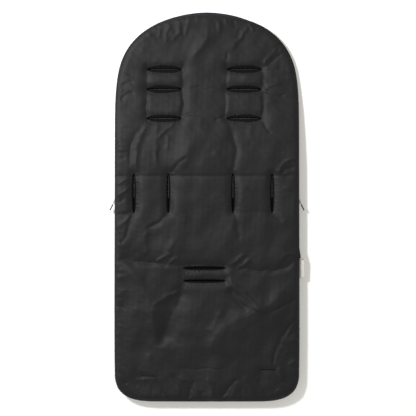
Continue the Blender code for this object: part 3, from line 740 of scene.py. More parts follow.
@dataclass
class Stitching:
    """A row of stitches, each a short rounded length of thread.

    Attributes:
        name: The piece's name.
        path: Close points along the row, on the cloth.
        up: The way the cloth faces at each point.
        pitch: How far apart the stitches are.
        length: How long each shows.
        gauge: The thread's diameter.
        across: Whether the stitches lie across the row, as in a bar tack.
    """

    name: str
    path: Points
    up: Points
    pitch: float = 3.2 * MM
    length: float = 2.4 * MM
    gauge: float = 0.55 * MM
    across: bool = False

    # A stitch's corners, and its rings: place in shares of its length, girth, height in shares of its gauge
    sides = 6
    rings = ((-0.36, 0.82, 0.13), (0.0, 1.0, 0.25), (0.36, 0.82, 0.13))

    # How far before and behind a stitch its direction is taken
    near = 0.3 * MM

    def build(self) -> bpy.types.Object:
        """Makes the row as one object."""
        along = distances(self.path)
        count = max(1, int(along[-1] / self.pitch))
        wanted = (np.arange(count) + 0.5) * along[-1] / count
        run = unit(walked(self.path, wanted + self.near) - walked(self.path, wanted - self.near))
        up = unit(np.stack([np.interp(wanted, along, column) for column in self.up.T], axis=1))
        side = unit(np.cross(up, run))
        up = np.cross(run, side)
        if self.across:
            run, side = side, -run
        turns = np.arange(self.sides) * math.tau / self.sides
        points, faces = [], []
        for spot, way, beside, rise in zip(walked(self.path, wanted), run, side, up):
            first = len(points)
            points.append(spot - way * self.length / 2 - rise * self.gauge * 0.5)
            for share, girth, height in self.rings:
                seat = spot + way * self.length * share + rise * self.gauge * height
                for turn in turns:
                    out = beside * math.cos(turn) + rise * math.sin(turn)
                    points.append(seat + out * self.gauge / 2 * girth)
            points.append(spot + way * self.length / 2 - rise * self.gauge * 0.5)
            rows = [first + 1 + row * self.sides for row in range(len(self.rings))]
            for step in range(self.sides):
                after = (step + 1) % self.sides
                faces.append((first, rows[0] + after, rows[0] + step))
                faces.append((len(points) - 1, rows[-1] + step, rows[-1] + after))
                for low, high in zip(rows, rows[1:]):
                    faces.append((low + step, low + after, high + after, high + step))
        return mesh_object(self.name, points, faces)


def unit(ways: Points) -> Points:
    """Returns directions at length one."""
    return ways / np.linalg.norm(ways, axis=-1, keepdims=True)


def bump(offset: Points, reach: float) -> Points:
    """Returns a soft bump that is 1 at no offset and fades past its reach."""
    return np.exp(-((offset / reach) ** 2))


def step_up(offset: Points, reach: float) -> Points:
    """Returns a soft step from 0 to 1 where the offset passes zero."""
    return 1 / (1 + np.exp(-offset / reach))


def roll(distance: Points, reach: float) -> Points:
    """Returns a quarter-round rise from 0 at an edge to 1 at its reach."""
    inward = np.clip(distance / reach, 0, 1)
    return np.sqrt(np.clip(1 - (1 - inward) ** 2, 0, 1))


# Folds of the back, as the photograph shows them
HEAD_FOLDS = (
    Fold(((208, 15), (207.5, 30), (204, 42), (198, 51), (190, 59)), 2.9, 15.0, 12.0),
    Fold(((189, 16), (188, 26), (184, 36)), 1.7, 6.0, 8.0),
    Fold(((181, 19), (178, 32), (173, 42)), 1.3, 5.0, 3.6),
    Fold(((170, 23), (168, 32), (166, 42)), 1.2, 4.4, 3.2),
    Fold(((160, 29), (158, 38)), 0.9, 4.0, 3.0),
    Fold(((216, 18), (219, 25), (221, 33)), 1.3, 4.0, 3.6),
    Fold(((225, 18), (229, 26)), 1.0, 3.6, 3.0),
    Fold(((233, 20), (236, 29)), -0.9, 3.4),
    Fold(((246, 25), (243, 35), (236, 43), (230, 51)), 1.9, 8.0, 4.5),
    Fold(((249, 22), (254, 31)), 1.2, 4.0, 3.0),
    Fold(((228, 52), (226, 60), (226.4, 70)), -1.2, 4.0),
    Fold(((278, 48), (269, 57), (264, 66)), 1.9, 5.0, 4.0),
    Fold(((281, 54), (272, 61), (266, 68)), -1.2, 4.0),
    Fold(((264, 69), (280, 66)), 1.2, 3.6),
    Fold(((264, 89), (272, 85), (281, 82)), 1.5, 3.8),
    Fold(((263, 91), (272, 93.5), (285, 96)), -1.9, 3.0),
    Fold(((266, 101), (277, 103)), 0.8, 5.0),
    Fold(((117, 70), (124, 75), (131, 78)), 1.3, 5.0, 3.0),
    Fold(((119, 87), (126, 83), (134, 82)), -1.5, 3.4),
    Fold(((121, 101), (127, 95), (134, 92)), -1.6, 3.8),
    Fold(((118, 92), (124, 90)), 1.0, 3.4),
    Fold(((140, 46), (150, 55), (160, 62)), 0.8, 12.0, 9.0),
)
SHOULDER_FOLDS = (
    Fold(((147.4, 61), (146.6, 80), (146.8, 100), (146.4, 122)), -2.8, 9.0, 3.6),
    Fold(((182.6, 60), (183.0, 92), (181.6, 122)), -3.0, 3.6, 20.0),
    Fold(((226.2, 60), (226.0, 92), (224.6, 122)), -2.4, 17.0, 3.6),
    Fold(((262.8, 62), (263.2, 92), (262.6, 120)), -2.4, 3.6, 9.0),
    Fold(((262.8, 120), (266, 128), (271, 134)), -1.4, 3.0),
    Fold(((184, 88.5), (205, 87.6), (226, 88.6)), -0.9, 2.2),
    Fold(((182, 116.5), (189, 114.0), (198, 113.6)), -1.5, 2.4),
    Fold(((214, 121.0), (220, 118.0), (226, 118)), -1.5, 2.6),
    Fold(((151, 122), (141.5, 134), (137.0, 150), (136.2, 173)), 2.2, 5.0, 6.5),
    Fold(((145, 124), (135, 136), (130.6, 152), (129.6, 168)), -1.4, 5.0),
    Fold(((158, 123), (157, 140), (157.5, 168)), 1.5, 9.0, 4.0),
    Fold(((178, 122), (166, 130), (158, 139)), 1.4, 3.6, 3.0),
    Fold(((169, 134), (167, 152)), 0.9, 6.0, 4.0),
    Fold(((201, 112), (199, 132), (186, 155), (172, 172)), 2.9, 26.0, 22.0),
    Fold(((187, 157), (178, 165), (170, 174)), -1.9, 4.4),
    Fold(((228.5, 122), (233.5, 138), (236.5, 152), (233.6, 168), (232.6, 176)), -2.6, 7.0, 6.0),
    Fold(((252, 124), (250, 142)), 0.8, 6.0),
    Fold(((297, 159), (284, 163), (277, 173)), 1.9, 4.0),
    Fold(((297, 167), (286, 169), (281, 175)), -1.3, 4.0),
    Fold(((214, 150), (222, 166), (230, 175)), 1.0, 12.0, 9.0),
    Fold(((117, 160), (126, 156)), -1.2, 4.4),
)
WAIST_FOLDS = (
    Fold(((168.8, 170), (168.4, 192), (168.8, 214)), -1.7, 5.0, 26.0),
    Fold(((133.8, 170), (133.6, 192), (133.8, 212)), -1.4, 5.0, 9.0),
    Fold(((233.4, 172), (233.4, 194), (233.6, 214)), -2.0, 5.0, 9.0),
    Fold(((271.8, 172), (271.8, 194), (272.2, 215)), -1.6, 4.0, 6.0),
    Fold(((133.6, 211), (131, 220), (127, 234), (121, 246)), -1.5, 4.4, 7.0),
    Fold(((168.6, 213), (162, 219), (154, 225), (146, 229)), -2.4, 4.0, 6.0),
    Fold(((186, 214), (182, 230), (172, 246), (163, 258)), 2.4, 20.0, 12.0),
    Fold(((148, 230), (145, 242), (148, 255)), 1.6, 9.0, 6.0),
    Fold(((235.4, 212), (237.2, 224), (239, 240)), -2.0, 5.0, 7.0),
    Fold(((273.0, 214), (277, 218), (283, 221)), -1.9, 3.4),
    Fold(((237, 212), (254, 212.5), (270, 212)), -0.5, 2.4),
    Fold(((116, 185), (124, 181), (130, 180)), 1.1, 3.4),
    Fold(((116, 197), (124, 192), (131, 188)), 1.7, 3.4),
    Fold(((117, 203), (126, 199)), -1.2, 3.4),
    Fold(((116, 216), (124, 214), (132, 213)), -1.5, 3.2),
    Fold(((116, 229), (124, 222), (132, 215)), 1.8, 3.6),
    Fold(((120, 232), (123, 244)), -1.2, 4.4),
    Fold(((283, 176), (296, 174)), -0.9, 3.4),
    Fold(((282, 188), (296, 190)), 0.8, 4.0),
)
SEAT_FOLDS = (
    Fold(((118, 259), (140, 262), (162, 264), (184, 266)), -3.8, 5.0, 12.0),
    Fold(((184, 264), (206, 263.5), (230, 264)), -2.0, 7.0, 9.0),
    Fold(((230, 267), (252, 270), (270, 271), (286, 267), (298, 258)), -3.8, 5.0, 12.0),
    Fold(((155, 263), (163, 257), (173, 253)), 2.2, 4.0),
    Fold(((168, 266), (173, 260), (180, 258)), 1.7, 3.4),
    Fold(((231, 264), (240, 257.5), (248, 254)), 2.4, 4.4),
    Fold(((236, 268), (246, 263), (251, 258)), 2.0, 4.0),
    Fold(((280, 259), (287, 254), (293, 255)), 1.4, 3.6),
    Fold(((118, 268), (120, 263)), 1.2, 3.6),
    Fold(((122, 262), (140, 282), (149, 300), (154, 322), (157, 344)), 4.4, 30.0, 14.0),
    Fold(((152, 305), (165, 298), (180, 290)), 2.3, 5.0, 6.0),
    Fold(((185, 284), (180, 297), (173, 310), (168, 324), (162, 347)), -6.4, 28.0, 25.0),
    Fold(((227, 279), (241, 292), (254, 304), (266, 314)), 3.4, 6.5, 9.0),
    Fold(((229, 287), (238, 299), (247, 311)), -3.6, 10.0, 5.4),
    Fold(((209, 352), (221, 330), (242, 318), (261, 311), (276, 299), (293, 278)), 5.2, 52.0, 24.0),
    Fold(((205, 331), (213, 326), (222, 310)), 1.2, 10.0, 8.0),
    Fold(((268, 312), (283, 306), (297, 298)), -1.6, 5.0, 4.0),
    Fold(((292, 322), (281, 338), (275, 352), (273, 367)), -2.0, 3.4, 4.4),
    Fold(((283, 353), (297, 350)), 1.0, 3.0),
    Fold(((288, 335), (297, 333)), -1.2, 3.0),
    Fold(((118, 305), (127, 309)), -1.0, 5.0),
    Fold(((116, 296), (127, 288)), 0.9, 5.0),
)
FOOT_FOLDS = (
    Fold(((150, 352), (147, 362), (140, 374)), 1.2, 9.0, 9.0),
    Fold(((134, 382), (146, 378), (158, 380)), 1.0, 3.6, 6.0),
    Fold(((170, 374), (181, 385), (190, 399)), -1.7, 3.0, 5.0),
    Fold(((178, 376), (190, 382), (200, 394)), 1.4, 3.4, 5.0),
    Fold(((195, 380), (190, 390), (187, 402)), -1.6, 2.6, 4.4),
    Fold(((153, 376), (164, 389), (173, 402)), -1.5, 2.8, 5.0),
    Fold(((144, 380), (152, 389), (158, 399)), -1.2, 2.8, 4.2),
    Fold(((137, 386), (147, 400)), 1.0, 2.8, 4.0),
    Fold(((219, 403), (227, 390), (238, 378)), -1.8, 3.0, 5.0),
    Fold(((229, 402), (236, 388)), 1.1, 3.0, 4.4),
    Fold(((207, 376), (211, 388), (213, 401)), 1.1, 2.8, 4.6),
    Fold(((201, 390), (204, 403)), -1.1, 2.6, 4.0),
    Fold(((243, 376), (254, 396)), 1.1, 3.0, 4.8),
    Fold(((258, 378), (268, 399)), -1.2, 2.8, 4.6),
    Fold(((240, 386), (244, 402)), -1.2, 2.6, 4.2),
    Fold(((279, 366), (283, 382)), 1.8, 4.6),
    Fold(((287, 365), (297, 360)), 1.8, 4.4),
    Fold(((276, 388), (284, 396)), 1.4, 4.4),
    Fold(((120, 370), (128, 384)), -1.6, 5.4),
    Fold(((126, 392), (134, 398)), -1.4, 4.4),
    Fold(((174, 368.5), (200, 368), (232, 368.5)), -0.6, 2.2),
)
BACK_FOLDS = HEAD_FOLDS + SHOULDER_FOLDS + WAIST_FOLDS + SEAT_FOLDS + FOOT_FOLDS
# Folds of the front cover, which the photograph doesn't show: hollows drawn from corners, zips and foot
COVER_FOLDS = (
    Fold(((122, 214), (146, 238), (178, 252), (206, 254)), 2.4, 10.0, 22.0),
    Fold(((293, 212), (270, 240), (240, 250)), 2.2, 20.0, 10.0),
    Fold(((119, 292), (150, 304), (186, 306), (224, 298)), 2.6, 12.0, 26.0),
    Fold(((296, 318), (266, 312), (236, 322), (214, 340)), 2.4, 24.0, 11.0),
    Fold(((128, 386), (146, 362), (156, 336)), 2.2, 9.0, 20.0),
    Fold(((284, 388), (268, 366), (256, 352)), 1.9, 16.0, 8.0),
    Fold(((196, 398), (200, 374), (192, 356)), 1.6, 8.0, 14.0),
    Fold(((232, 216), (226, 240), (230, 262)), 1.4, 8.0, 14.0),
    Fold(((176, 214), (184, 232)), 1.2, 6.0, 9.0),
    Fold(((117, 246), (132, 252)), 1.4, 6.0),
    Fold(((117, 338), (134, 334)), 1.4, 6.0),
    Fold(((297, 268), (280, 276)), 1.4, 6.0),
    Fold(((297, 356), (282, 352)), 1.3, 6.0),
)
# Folds of the back's fleece, pulled from slot to slot
FLEECE_FOLDS = (
    Fold(((164, 118), (176, 146), (168, 176)), 1.8, 10.0, 16.0),
    Fold(((244, 118), (236, 148), (233, 174)), 1.8, 16.0, 10.0),
    Fold(((182, 92), (204, 100), (226, 92)), 1.5, 9.0, 14.0),
    Fold(((150, 64), (168, 42), (182, 24)), 1.4, 9.0, 14.0),
    Fold(((262, 64), (246, 44), (232, 26)), 1.4, 14.0, 9.0),
    Fold(((146, 100), (130, 132), (120, 150)), 1.4, 8.0, 13.0),
    Fold(((264, 104), (282, 128), (296, 150)), 1.4, 13.0, 8.0),
)


@dataclass
class BackForm:
    """The heights of the back's quilt and of its fleece.

    Attributes:
        edge: The outline and its seams.
        slots: The harness slots.
        quilt_reach: How far in from the edge the padding has risen fully.
        slot_reach: How far round a slot the padding is drawn down.
        slot_share: What share of the padding is drawn down there.
        seam_y: Where the sewn line across the waist lies.
        cloth: The shell cloth's thickness at the seams.
        lip_reach: How far from a slot's middle its fleece lips stand up.
        lip_depth: How far below the shell cloth they end.
    """

    edge: Edge
    slots: list[Slot]
    quilt_reach: float = 17 * MM
    slot_reach: float = 12 * MM
    slot_share: float = 0.62
    seam_y: float = 76 * MM
    cloth: float = 1.6 * MM
    lip_reach: float = 4.0 * MM
    lip_depth: float = 8.0 * MM

    # How far the padding is drawn down, in shares of it, and how far round: beside seams and tacks
    seam_channels = ((0.17, 4.0 * MM), (0.10, 16 * MM))
    tack_channels = ((0.14, 9 * MM), (0.05, 3.5 * MM))

    # Gathers at the edge: how many go round the outline, and their shares; then their height
    edge_waves = ((97, 1.0), (131, 0.9), (167, 0.7), (61, 0.8), (211, 0.5), (37, 0.7))
    edge_gathers = 0.30 * MM

    # Gathers round a slot: wavelengths and shares, then their height and where they are highest
    slot_waves = ((8.6 * MM, 1.0, 1), (13.4 * MM, 0.8, 2))
    slot_gathers = 0.4 * MM
    slot_crest = 4 * MM

    # Random relief of the shell cloth: broad, middling and fine; and of the fleece
    shell_relief = (0.8 * MM, 0.36 * MM, 0.09 * MM)
    fleece_relief = (0.55 * MM, 0.35 * MM)

    # The fleece's thickness, how thick its lips are, and how far slots pull it up
    pile = 2.0 * MM
    lip_thickness = 1.5 * MM
    pulled_up = 1.8 * MM

    # The groove between a slot's lips
    groove, groove_reach = 0.9 * MM, 1.1 * MM

    # The quilt's underside: how far below the shell's seam it hangs, and how far it clears the fleece
    hangs, clears = 2.6 * MM, 2.5 * MM

    # How much lower the padding is at the sides than along the middle, as a share
    side_drop = 0.12

    # How far from the edge the relief and the folds have their full height
    relief_reach, fold_reach, fleece_relief_reach = 14 * MM, 5 * MM, 20 * MM

    def __post_init__(self) -> None:
        """Reads the padding's height from the CAD, and draws the random fields."""
        self.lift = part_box("back_shell")[1].z - self.edge.shell_z.max()
        self.sag = self.edge.lining_z.min()
        self.tacks = [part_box("left_bar_tack"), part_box("right_bar_tack")]
        self.soft = Ripples(3, 120 * MM)
        self.lumps = Ripples(8, 46 * MM, stretch=1.4)
        self.creases = Ripples(21, 16 * MM, count=24)
        self.sway = (Ripples(31, 34 * MM), Ripples(32, 34 * MM))
        self.phases = np.random.default_rng(5).uniform(0, math.tau, 6)

    def channels(self, points: Points) -> Points:
        """Returns what share of the padding is left beside slots, seams and tacks."""
        kept = np.ones(len(points))
        for share, reach in self.seam_channels:
            kept *= 1 - share * bump(points[:, 1] - self.seam_y, reach)
        for slot in self.slots:
            kept *= 1 - self.slot_share * bump(slot.distance(points), self.slot_reach)
        for low, high in self.tacks:
            past = np.clip(np.abs(points[:, 0] - (low.x + high.x) / 2) - (high.x - low.x) / 2.4, 0, None)
            away = np.hypot(past, points[:, 1] - (low.y + high.y) / 2)
            kept *= 1 - sum(share * bump(away, reach) for share, reach in self.tack_channels)
        return kept

    def puckers(self, distance: Points, along: Points, points: Points) -> Points:
        """Returns the small gathers that run in from the edge seams."""
        turn = math.tau * along / self.edge.length
        wave = np.zeros(len(points))
        for (turns, share), phase in zip(self.edge_waves, self.phases):
            wave += share * np.sin(turns * turn + phase + 9 * distance)
        head = 1.0 + 0.5 * bump(points[:, 1] - self.edge.head, 60 * MM)
        depth = (17 + 9 * np.sin(7 * turn + self.phases[0])) * MM
        uneven = np.clip(0.75 + 0.6 * self.lumps(points), 0.15, 1.7)
        fade = np.exp(-distance / depth) * (1 - np.exp(-distance / SEWN_REACH))
        return self.edge_gathers * head * uneven * wave * fade

    def gathers(self, points: Points) -> Points:
        """Returns the small gathers that the stitching pulls up round each slot."""
        total = np.zeros(len(points))
        share = np.clip(0.4 + 0.8 * self.creases(points), 0, 1.4)
        for count, slot in enumerate(self.slots):
            run = math.tau * slot.local(points)[:, 0]
            wave = sum(part * np.sin(run / length + turns * count) for length, part, turns in self.slot_waves)
            away = slot.distance(points) - slot.half_width
            total += wave * bump(away - self.slot_crest, 5.5 * MM) * share
        return self.slot_gathers * total

    def folds(self, points: Points) -> Points:
        """Returns how far the folds that the photograph shows lift each point."""
        swayed = points + 1.1 * MM * np.column_stack([field(points) for field in self.sway])
        return sum(fold.height(swayed) for fold in BACK_FOLDS)

    def quilt_top(self, points: Points) -> Points:
        """Returns the height of the shell cloth over the padding."""
        distance, along = self.edge.measure(points)
        rise = roll(distance, self.quilt_reach)
        crown = 1 - self.side_drop * (points[:, 0] / self.edge.half) ** 2
        top = self.edge.shell_seam(points) + self.cloth
        top += (self.lift - self.cloth) * rise * crown * self.channels(points)
        calm = np.clip(distance / self.relief_reach, 0, 1)
        for slot in self.slots:
            calm = np.minimum(calm, np.clip((slot.distance(points) - 4 * MM) / (10 * MM), 0.1, 1))
        for height, relief in zip(self.shell_relief, (self.soft, self.lumps, self.creases)):
            top += calm * height * relief(points)
        top += np.clip(distance / self.fold_reach, 0, 1) * self.folds(points)
        return top + self.puckers(distance, along, points) + self.gathers(points)

    def quilt_base(self, points: Points) -> Points:
        """Returns the height of the quilt's hidden underside, which clears the fleece."""
        rise = roll(self.edge.measure(points)[0], self.quilt_reach)
        low = self.edge.shell_seam(points) - self.hangs * rise
        return np.maximum(low, self.fleece_plain(points) + self.clears * rise)

    def lips(self, points: Points, plain: Points, below: float) -> Points:
        """Raises the fleece to the lips that close each slot.

        Args:
            points: Places on the fleece.
            plain: The fleece's height away from the slots.
            below: How far under the lips' upper face this face lies.

        Returns:
            The height with the lips.
        """
        raised = plain.copy()
        for slot in self.slots:
            away = slot.distance(points)
            near = np.flatnonzero(away < 3 * self.lip_reach)
            share = 1 / (1 + (away[near] / self.lip_reach) ** 8)
            crest = self.quilt_top(points[near]) - self.lip_depth - below
            crest -= self.groove * bump(away[near], self.groove_reach)
            raised[near] += share * (crest - raised[near])
        return raised

    def fleece_plain(self, points: Points) -> Points:
        """Returns the height of the fleece's napped face without its lips."""
        distance, _ = self.edge.measure(points)
        calm = np.clip(distance / self.fleece_relief_reach, 0, 1)
        low = self.edge.lining_seam(points) - self.sag * roll(distance, self.quilt_reach)
        for height, relief in zip(self.fleece_relief, (self.soft, self.lumps)):
            low += calm * height * (1 + relief(points))
        low += calm * sum(fold.height(points) for fold in FLEECE_FOLDS)
        pulled = np.max([bump(slot.distance(points), 13 * MM) for slot in self.slots], axis=0)
        return np.maximum(low + self.pulled_up * pulled, 0.0)

    def fleece_under(self, points: Points) -> Points:
        """Returns the height of the fleece's napped face, which faces down."""
        return np.maximum(self.lips(points, self.fleece_plain(points), self.lip_thickness), 0.0)

    def fleece_top(self, points: Points) -> Points:
        """Returns the height of the fleece's hidden face."""
        return self.lips(points, self.fleece_plain(points) + self.pile, 0.0)


@dataclass
class CoverForm:
    """The heights of the front cover's quilt and of its fleece.

    Attributes:
        edge: The footmuff's outline.
        top: Where the cover's upper edge lies along Y.
        rise: How far the side seams stand above the floor.
        top_rise: How far the upper edge does.
        reach: How far in from the edge the cover lies flat.
    """

    edge: Edge
    top: float
    rise: float
    top_rise: float
    reach: float = 26 * MM

    # How far from the upper edge its own height counts
    upper_reach = 22 * MM

    # Gathers at the edge: how many go round the outline, and their height
    edge_waves = (103, 149, 187, 71, 229)
    edge_gathers = 0.30 * MM

    # The inner faces: how far above the shell's edge they begin, and how far they rise inwards
    quilt_back_level = (1.5 * MM, 2.2 * MM)
    fleece_level = (3.8 * MM, 2.0 * MM)
    fleece_back_level = (1.8 * MM, 2.3 * MM)

    def __post_init__(self) -> None:
        """Draws the random fields."""
        self.soft = Ripples(41, 110 * MM)
        self.lumps = Ripples(42, 40 * MM)
        self.phases = np.random.default_rng(6).uniform(0, math.tau, 5)

    def outline(self, allowance: float = 0.0) -> Points:
        """Returns the cover's edge: the footmuff's, cut off along the upper edge.

        Args:
            allowance: How far inside the footmuff's edge it lies.

        Returns:
            The closed edge.
        """
        loop = inset(self.edge.loop, allowance) if allowance else self.edge.loop
        sides = cut_off(loop, self.top - EDGE_STEP / 2)
        left, right = sides[0][0], sides[-1][0]
        across = np.linspace(right, left, round((right - left) / EDGE_STEP) + 1)
        upper = np.column_stack([across, np.full(len(across), self.top)])
        return np.concatenate([sides, upper])

    def depth(self, points: Points) -> tuple[Points, Points]:
        """Returns how far inside the edge each point lies, and a wave that runs along the edge."""
        distance, along = self.edge.measure(points)
        upper = self.top - points[:, 1]
        turn = math.tau * along / self.edge.length
        wave = sum(np.sin(turns * turn + phase) for turns, phase in zip(self.edge_waves, self.phases))
        fade = np.exp(-distance / (16 * MM)) * (1 - np.exp(-distance / SEWN_REACH))
        return np.minimum(distance, upper), wave * fade

    def edge_height(self, points: Points) -> Points:
        """Returns the height of the edge nearest each point: its sides' or its top's."""
        distance, _ = self.edge.measure(points)
        share = bump(np.clip(self.top - points[:, 1], 0, None), self.upper_reach)
        share = np.where(distance < self.upper_reach, share * distance / self.upper_reach, share)
        return self.rise + share * (self.top_rise - self.rise)

    def shell(self, points: Points) -> Points:
        """Returns the height of the shell cloth, which faces down."""
        shallow, wave = self.depth(points)
        low = self.edge_height(points) * (1 - roll(shallow, self.reach))
        calm = np.clip(shallow / (18 * MM), 0, 1)
        low += calm * (0.6 * MM * (1 + self.soft(points)) + 0.45 * MM * (1 + self.lumps(points)))
        low += np.clip(shallow / (6 * MM), 0, 1) * sum(fold.height(points) for fold in COVER_FOLDS)
        return np.maximum(low + self.edge_gathers * wave, 0.0)

    def inner(self, points: Points, level: tuple[float, float]) -> Points:
        """Returns the height of an inner face before its relief."""
        start, rise = level
        return self.edge_height(points) + start + rise * roll(self.depth(points)[0], self.reach)

    def quilt_back(self, points: Points) -> Points:
        """Returns the height of the quilt's hidden inner face."""
        return self.inner(points, self.quilt_back_level)

    def fleece(self, points: Points) -> Points:
        """Returns the height of the fleece's napped face, which faces up into the pocket."""
        shallow, wave = self.depth(points)
        calm = np.clip(shallow / (18 * MM), 0, 1)
        top = self.inner(points, self.fleece_level)
        top += calm * (0.45 * MM * self.soft(points) + 0.3 * MM * self.lumps(points))
        return top + self.edge_gathers / 2 * wave

    def fleece_back(self, points: Points) -> Points:
        """Returns the height of the fleece's hidden face."""
        return self.inner(points, self.fleece_back_level)


def principled(name: str, settings: dict) -> tuple[bpy.types.Material, bpy.types.NodeSocket]:
    """Starts a material.

    Args:
        name: The material's name.
        settings: Values of its shader's sockets.

    Returns:
        The material, and the socket of the place on the object.
    """
    made = bpy.data.materials.new(name)
    made.use_nodes = True
    for socket, value in settings.items():
        made.node_tree.nodes["Principled BSDF"].inputs[socket].default_value = value
    return made, add(made.node_tree, "ShaderNodeTexCoord").outputs["Object"]


def clothe(made: bpy.types.Material, colour: str, spread: dict, raised: dict) -> bpy.types.Material:
    """Gives a material a mottled colour and a raised grain.

    Args:
        made: The material.
        colour: Its dyed colour.
        spread: The sockets of the range that lightens and darkens the colour.
        raised: The sockets of the grain's bump.

    Returns:
        The material.
    """
    tree = made.node_tree
    shader = tree.nodes["Principled BSDF"]
    tone = add(tree, "ShaderNodeMapRange", spread).outputs[0]
    dyed = add(tree, "ShaderNodeHueSaturation", {"Color": linear(colour), "Value": tone})
    tree.links.new(dyed.outputs["Color"], shader.inputs["Base Color"])
    tree.links.new(add(tree, "ShaderNodeBump", raised).outputs["Normal"], shader.inputs["Normal"])
    return made


@dataclass(frozen=True)
class WovenPolyester:
    """Plain-woven shell cloth: matt black, mottled broadly, with a slubby grain both ways.

    Attributes:
        name: The material's name.
        colour: Its dyed colour.
        slub: How thick its thicker threads are.
        run: How long they stay thick.
        depth: How far they stand out.
        cloud: How broad its mottling is.
    """

    name: str = "woven_polyester"
    colour: str = "131314"
    slub: float = 1.5 * MM
    run: float = 9.0 * MM
    depth: float = 0.10 * MM
    cloud: float = 60 * MM

    def material(self) -> bpy.types.Material:
        """Returns the material."""
        made, place = principled(self.name, {"Roughness": 0.6, "Specular IOR Level": 0.30})
        tree = made.node_tree
        weft = self.slubs(tree, place, (self.run, self.slub, self.slub))
        warp = self.slubs(tree, place, (self.slub, self.run, self.slub))
        weave = maths(tree, "ADD", weft, warp)
        mixed = maths(tree, "MULTIPLY_ADD", noise(tree, place, 1 / self.cloud, Detail=2.0), 0.8, weave)
        spread = {"Value": mixed, "From Min": 1.05, "From Max": 1.75, "To Min": 0.62, "To Max": 1.38}
        return clothe(made, self.colour, spread, {"Strength": 1.0, "Distance": self.depth, "Height": weave})

    def slubs(self, tree: bpy.types.NodeTree, place: bpy.types.NodeSocket, size: tuple) -> bpy.types.NodeSocket:
        """Draws threads of uneven thickness that lie one way, and returns their height."""
        scale = Vector(tuple(1 / length for length in size))
        drawn = add(tree, "ShaderNodeMapping", {"Vector": place, "Scale": scale}).outputs["Vector"]
        return noise(tree, drawn, 1.0, Detail=3.0, Roughness=0.6, Distortion=0.2)


@dataclass(frozen=True)
class NappedCloth:
    """Fleece, tape, satin or thread: mottled, grained and more or less sheeny.

    Attributes:
        name: The material's name.
        colour: Its dyed colour.
        roughness: How matt it is.
        grain: The size of its nap or weave.
        depth: How deep that is.
        sheen: How much its fibres shine at a glancing angle.
        contrast: How far its mottling strays from the colour.
        specular: How strongly its surface shines.
        stripe: How far apart the stitches lie along a satin-stitched edge, if it is one.
    """

    name: str
    colour: str
    roughness: float
    grain: float
    depth: float
    sheen: float = 0.0
    contrast: float = 0.25
    specular: float = 0.3
    stripe: float | None = None

    def material(self) -> bpy.types.Material:
        """Returns the material."""
        settings = {"Roughness": self.roughness, "Specular IOR Level": self.specular}
        made, place = principled(self.name, settings | {"Sheen Weight": self.sheen})
        tree = made.node_tree
        height = grain = noise(tree, place, 1 / self.grain, Detail=4.0, Roughness=0.7)
        spread = {"Value": grain, "From Min": 0.3, "From Max": 0.7}
        spread |= {"To Min": 1 - self.contrast, "To Max": 1 + self.contrast}
        if self.stripe:
            run = add(tree, "ShaderNodeAttribute", attribute_name="along").outputs["Fac"]
            wave = maths(tree, "SINE", maths(tree, "MULTIPLY", run, math.tau / self.stripe))
            height = maths(tree, "MULTIPLY_ADD", wave, 0.5, grain)
        return clothe(made, self.colour, spread, {"Strength": 0.8, "Distance": self.depth, "Height": height})


@dataclass(frozen=True)
class Moulded:
    """A smooth hard finish: nylon teeth or enamelled zinc, slightly uneven in its gloss.

    Attributes:
        name: The material's name.
        colour: Its colour.
        roughness: How matt it is.
        specular: How strongly its surface shines.
    """

    name: str
    colour: str
    roughness: float
    specular: float = 0.4

    def material(self) -> bpy.types.Material:
        """Returns the material."""
        settings = {"Base Color": linear(self.colour), "Specular IOR Level": self.specular}
        made, place = principled(self.name, settings)
        tree = made.node_tree
        wear = noise(tree, place, 1 / (1.5 * MM), Detail=2.0)
        span = {"Value": wear, "To Min": self.roughness * 0.8, "To Max": self.roughness * 1.25}
        rough = add(tree, "ShaderNodeMapRange", span).outputs[0]
        tree.links.new(rough, tree.nodes["Principled BSDF"].inputs["Roughness"])
        return made


class Finishes:
    """The materials, each made once."""

    def __init__(self) -> None:
        """Makes the materials."""
        self.shell = WovenPolyester().material()
        self.fleece = NappedCloth(
            "polar_fleece", "2d1d3c", 0.95, 2.2 * MM, 0.9 * MM, sheen=0.08, specular=0.08
        ).material()
        self.tape = NappedCloth("woven_tape", "0d0d0e", 0.85, 0.9 * MM, 0.15 * MM, specular=0.2).material()
        self.satin_stitch = NappedCloth(
            "satin_stitching", "0f0f10", 0.85, 0.9 * MM, 0.3 * MM, specular=0.12, stripe=1.1 * MM
        ).material()
        self.teeth = Moulded("moulded_nylon", "0a0a0b", 0.5, 0.3).material()
        self.enamel = Moulded("black_enamel", "050505", 0.5, 0.2).material()
        # The label's colour is a light grey rather than white: partly the print's colours mixed in, partly
        # painted shade that stands in for the quilt's shadow falling on the label.
        self.satin = NappedCloth("woven_satin", "dedbd4", 0.5, 0.8 * MM, 0.06 * MM, contrast=0.03).material()
        self.thread = NappedCloth("polyester_thread", "121213", 0.6, 0.5 * MM, 0.05 * MM).material()


def dress(obj: bpy.types.Object, finish: bpy.types.Material, slot: str, *nodes: str) -> bpy.types.Object:
    """Gives a piece its finish and hides the CAD nodes that it replaces.

    Args:
        obj: The piece.
        finish: Its material.
        slot: The record's material slot, not used.
        nodes: The CAD nodes that it replaces.

    Returns:
        The piece.
    """
    obj.data.materials.clear()
    obj.data.materials.append(finish)
    if nodes:
        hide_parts(*nodes)
    LOG.info("%s: %d faces", obj.name, len(obj.data.polygons))
    return obj


def deselect() -> None:
    """Leaves no object selected."""
    for other in bpy.context.view_layer.objects:
        other.select_set(False)


def only(obj: bpy.types.Object) -> None:
    """Selects one object alone and makes it active."""
    deselect()
    obj.select_set(True)
    bpy.context.view_layer.objects.active = obj


def apply_all(obj: bpy.types.Object) -> None:
    """Applies every modifier of an object, and then its place, turn and scale."""
    only(obj)
    for step in list(obj.modifiers):
        bpy.ops.object.modifier_apply(modifier=step.name)
    bpy.ops.object.transform_apply(location=True, rotation=True, scale=True)


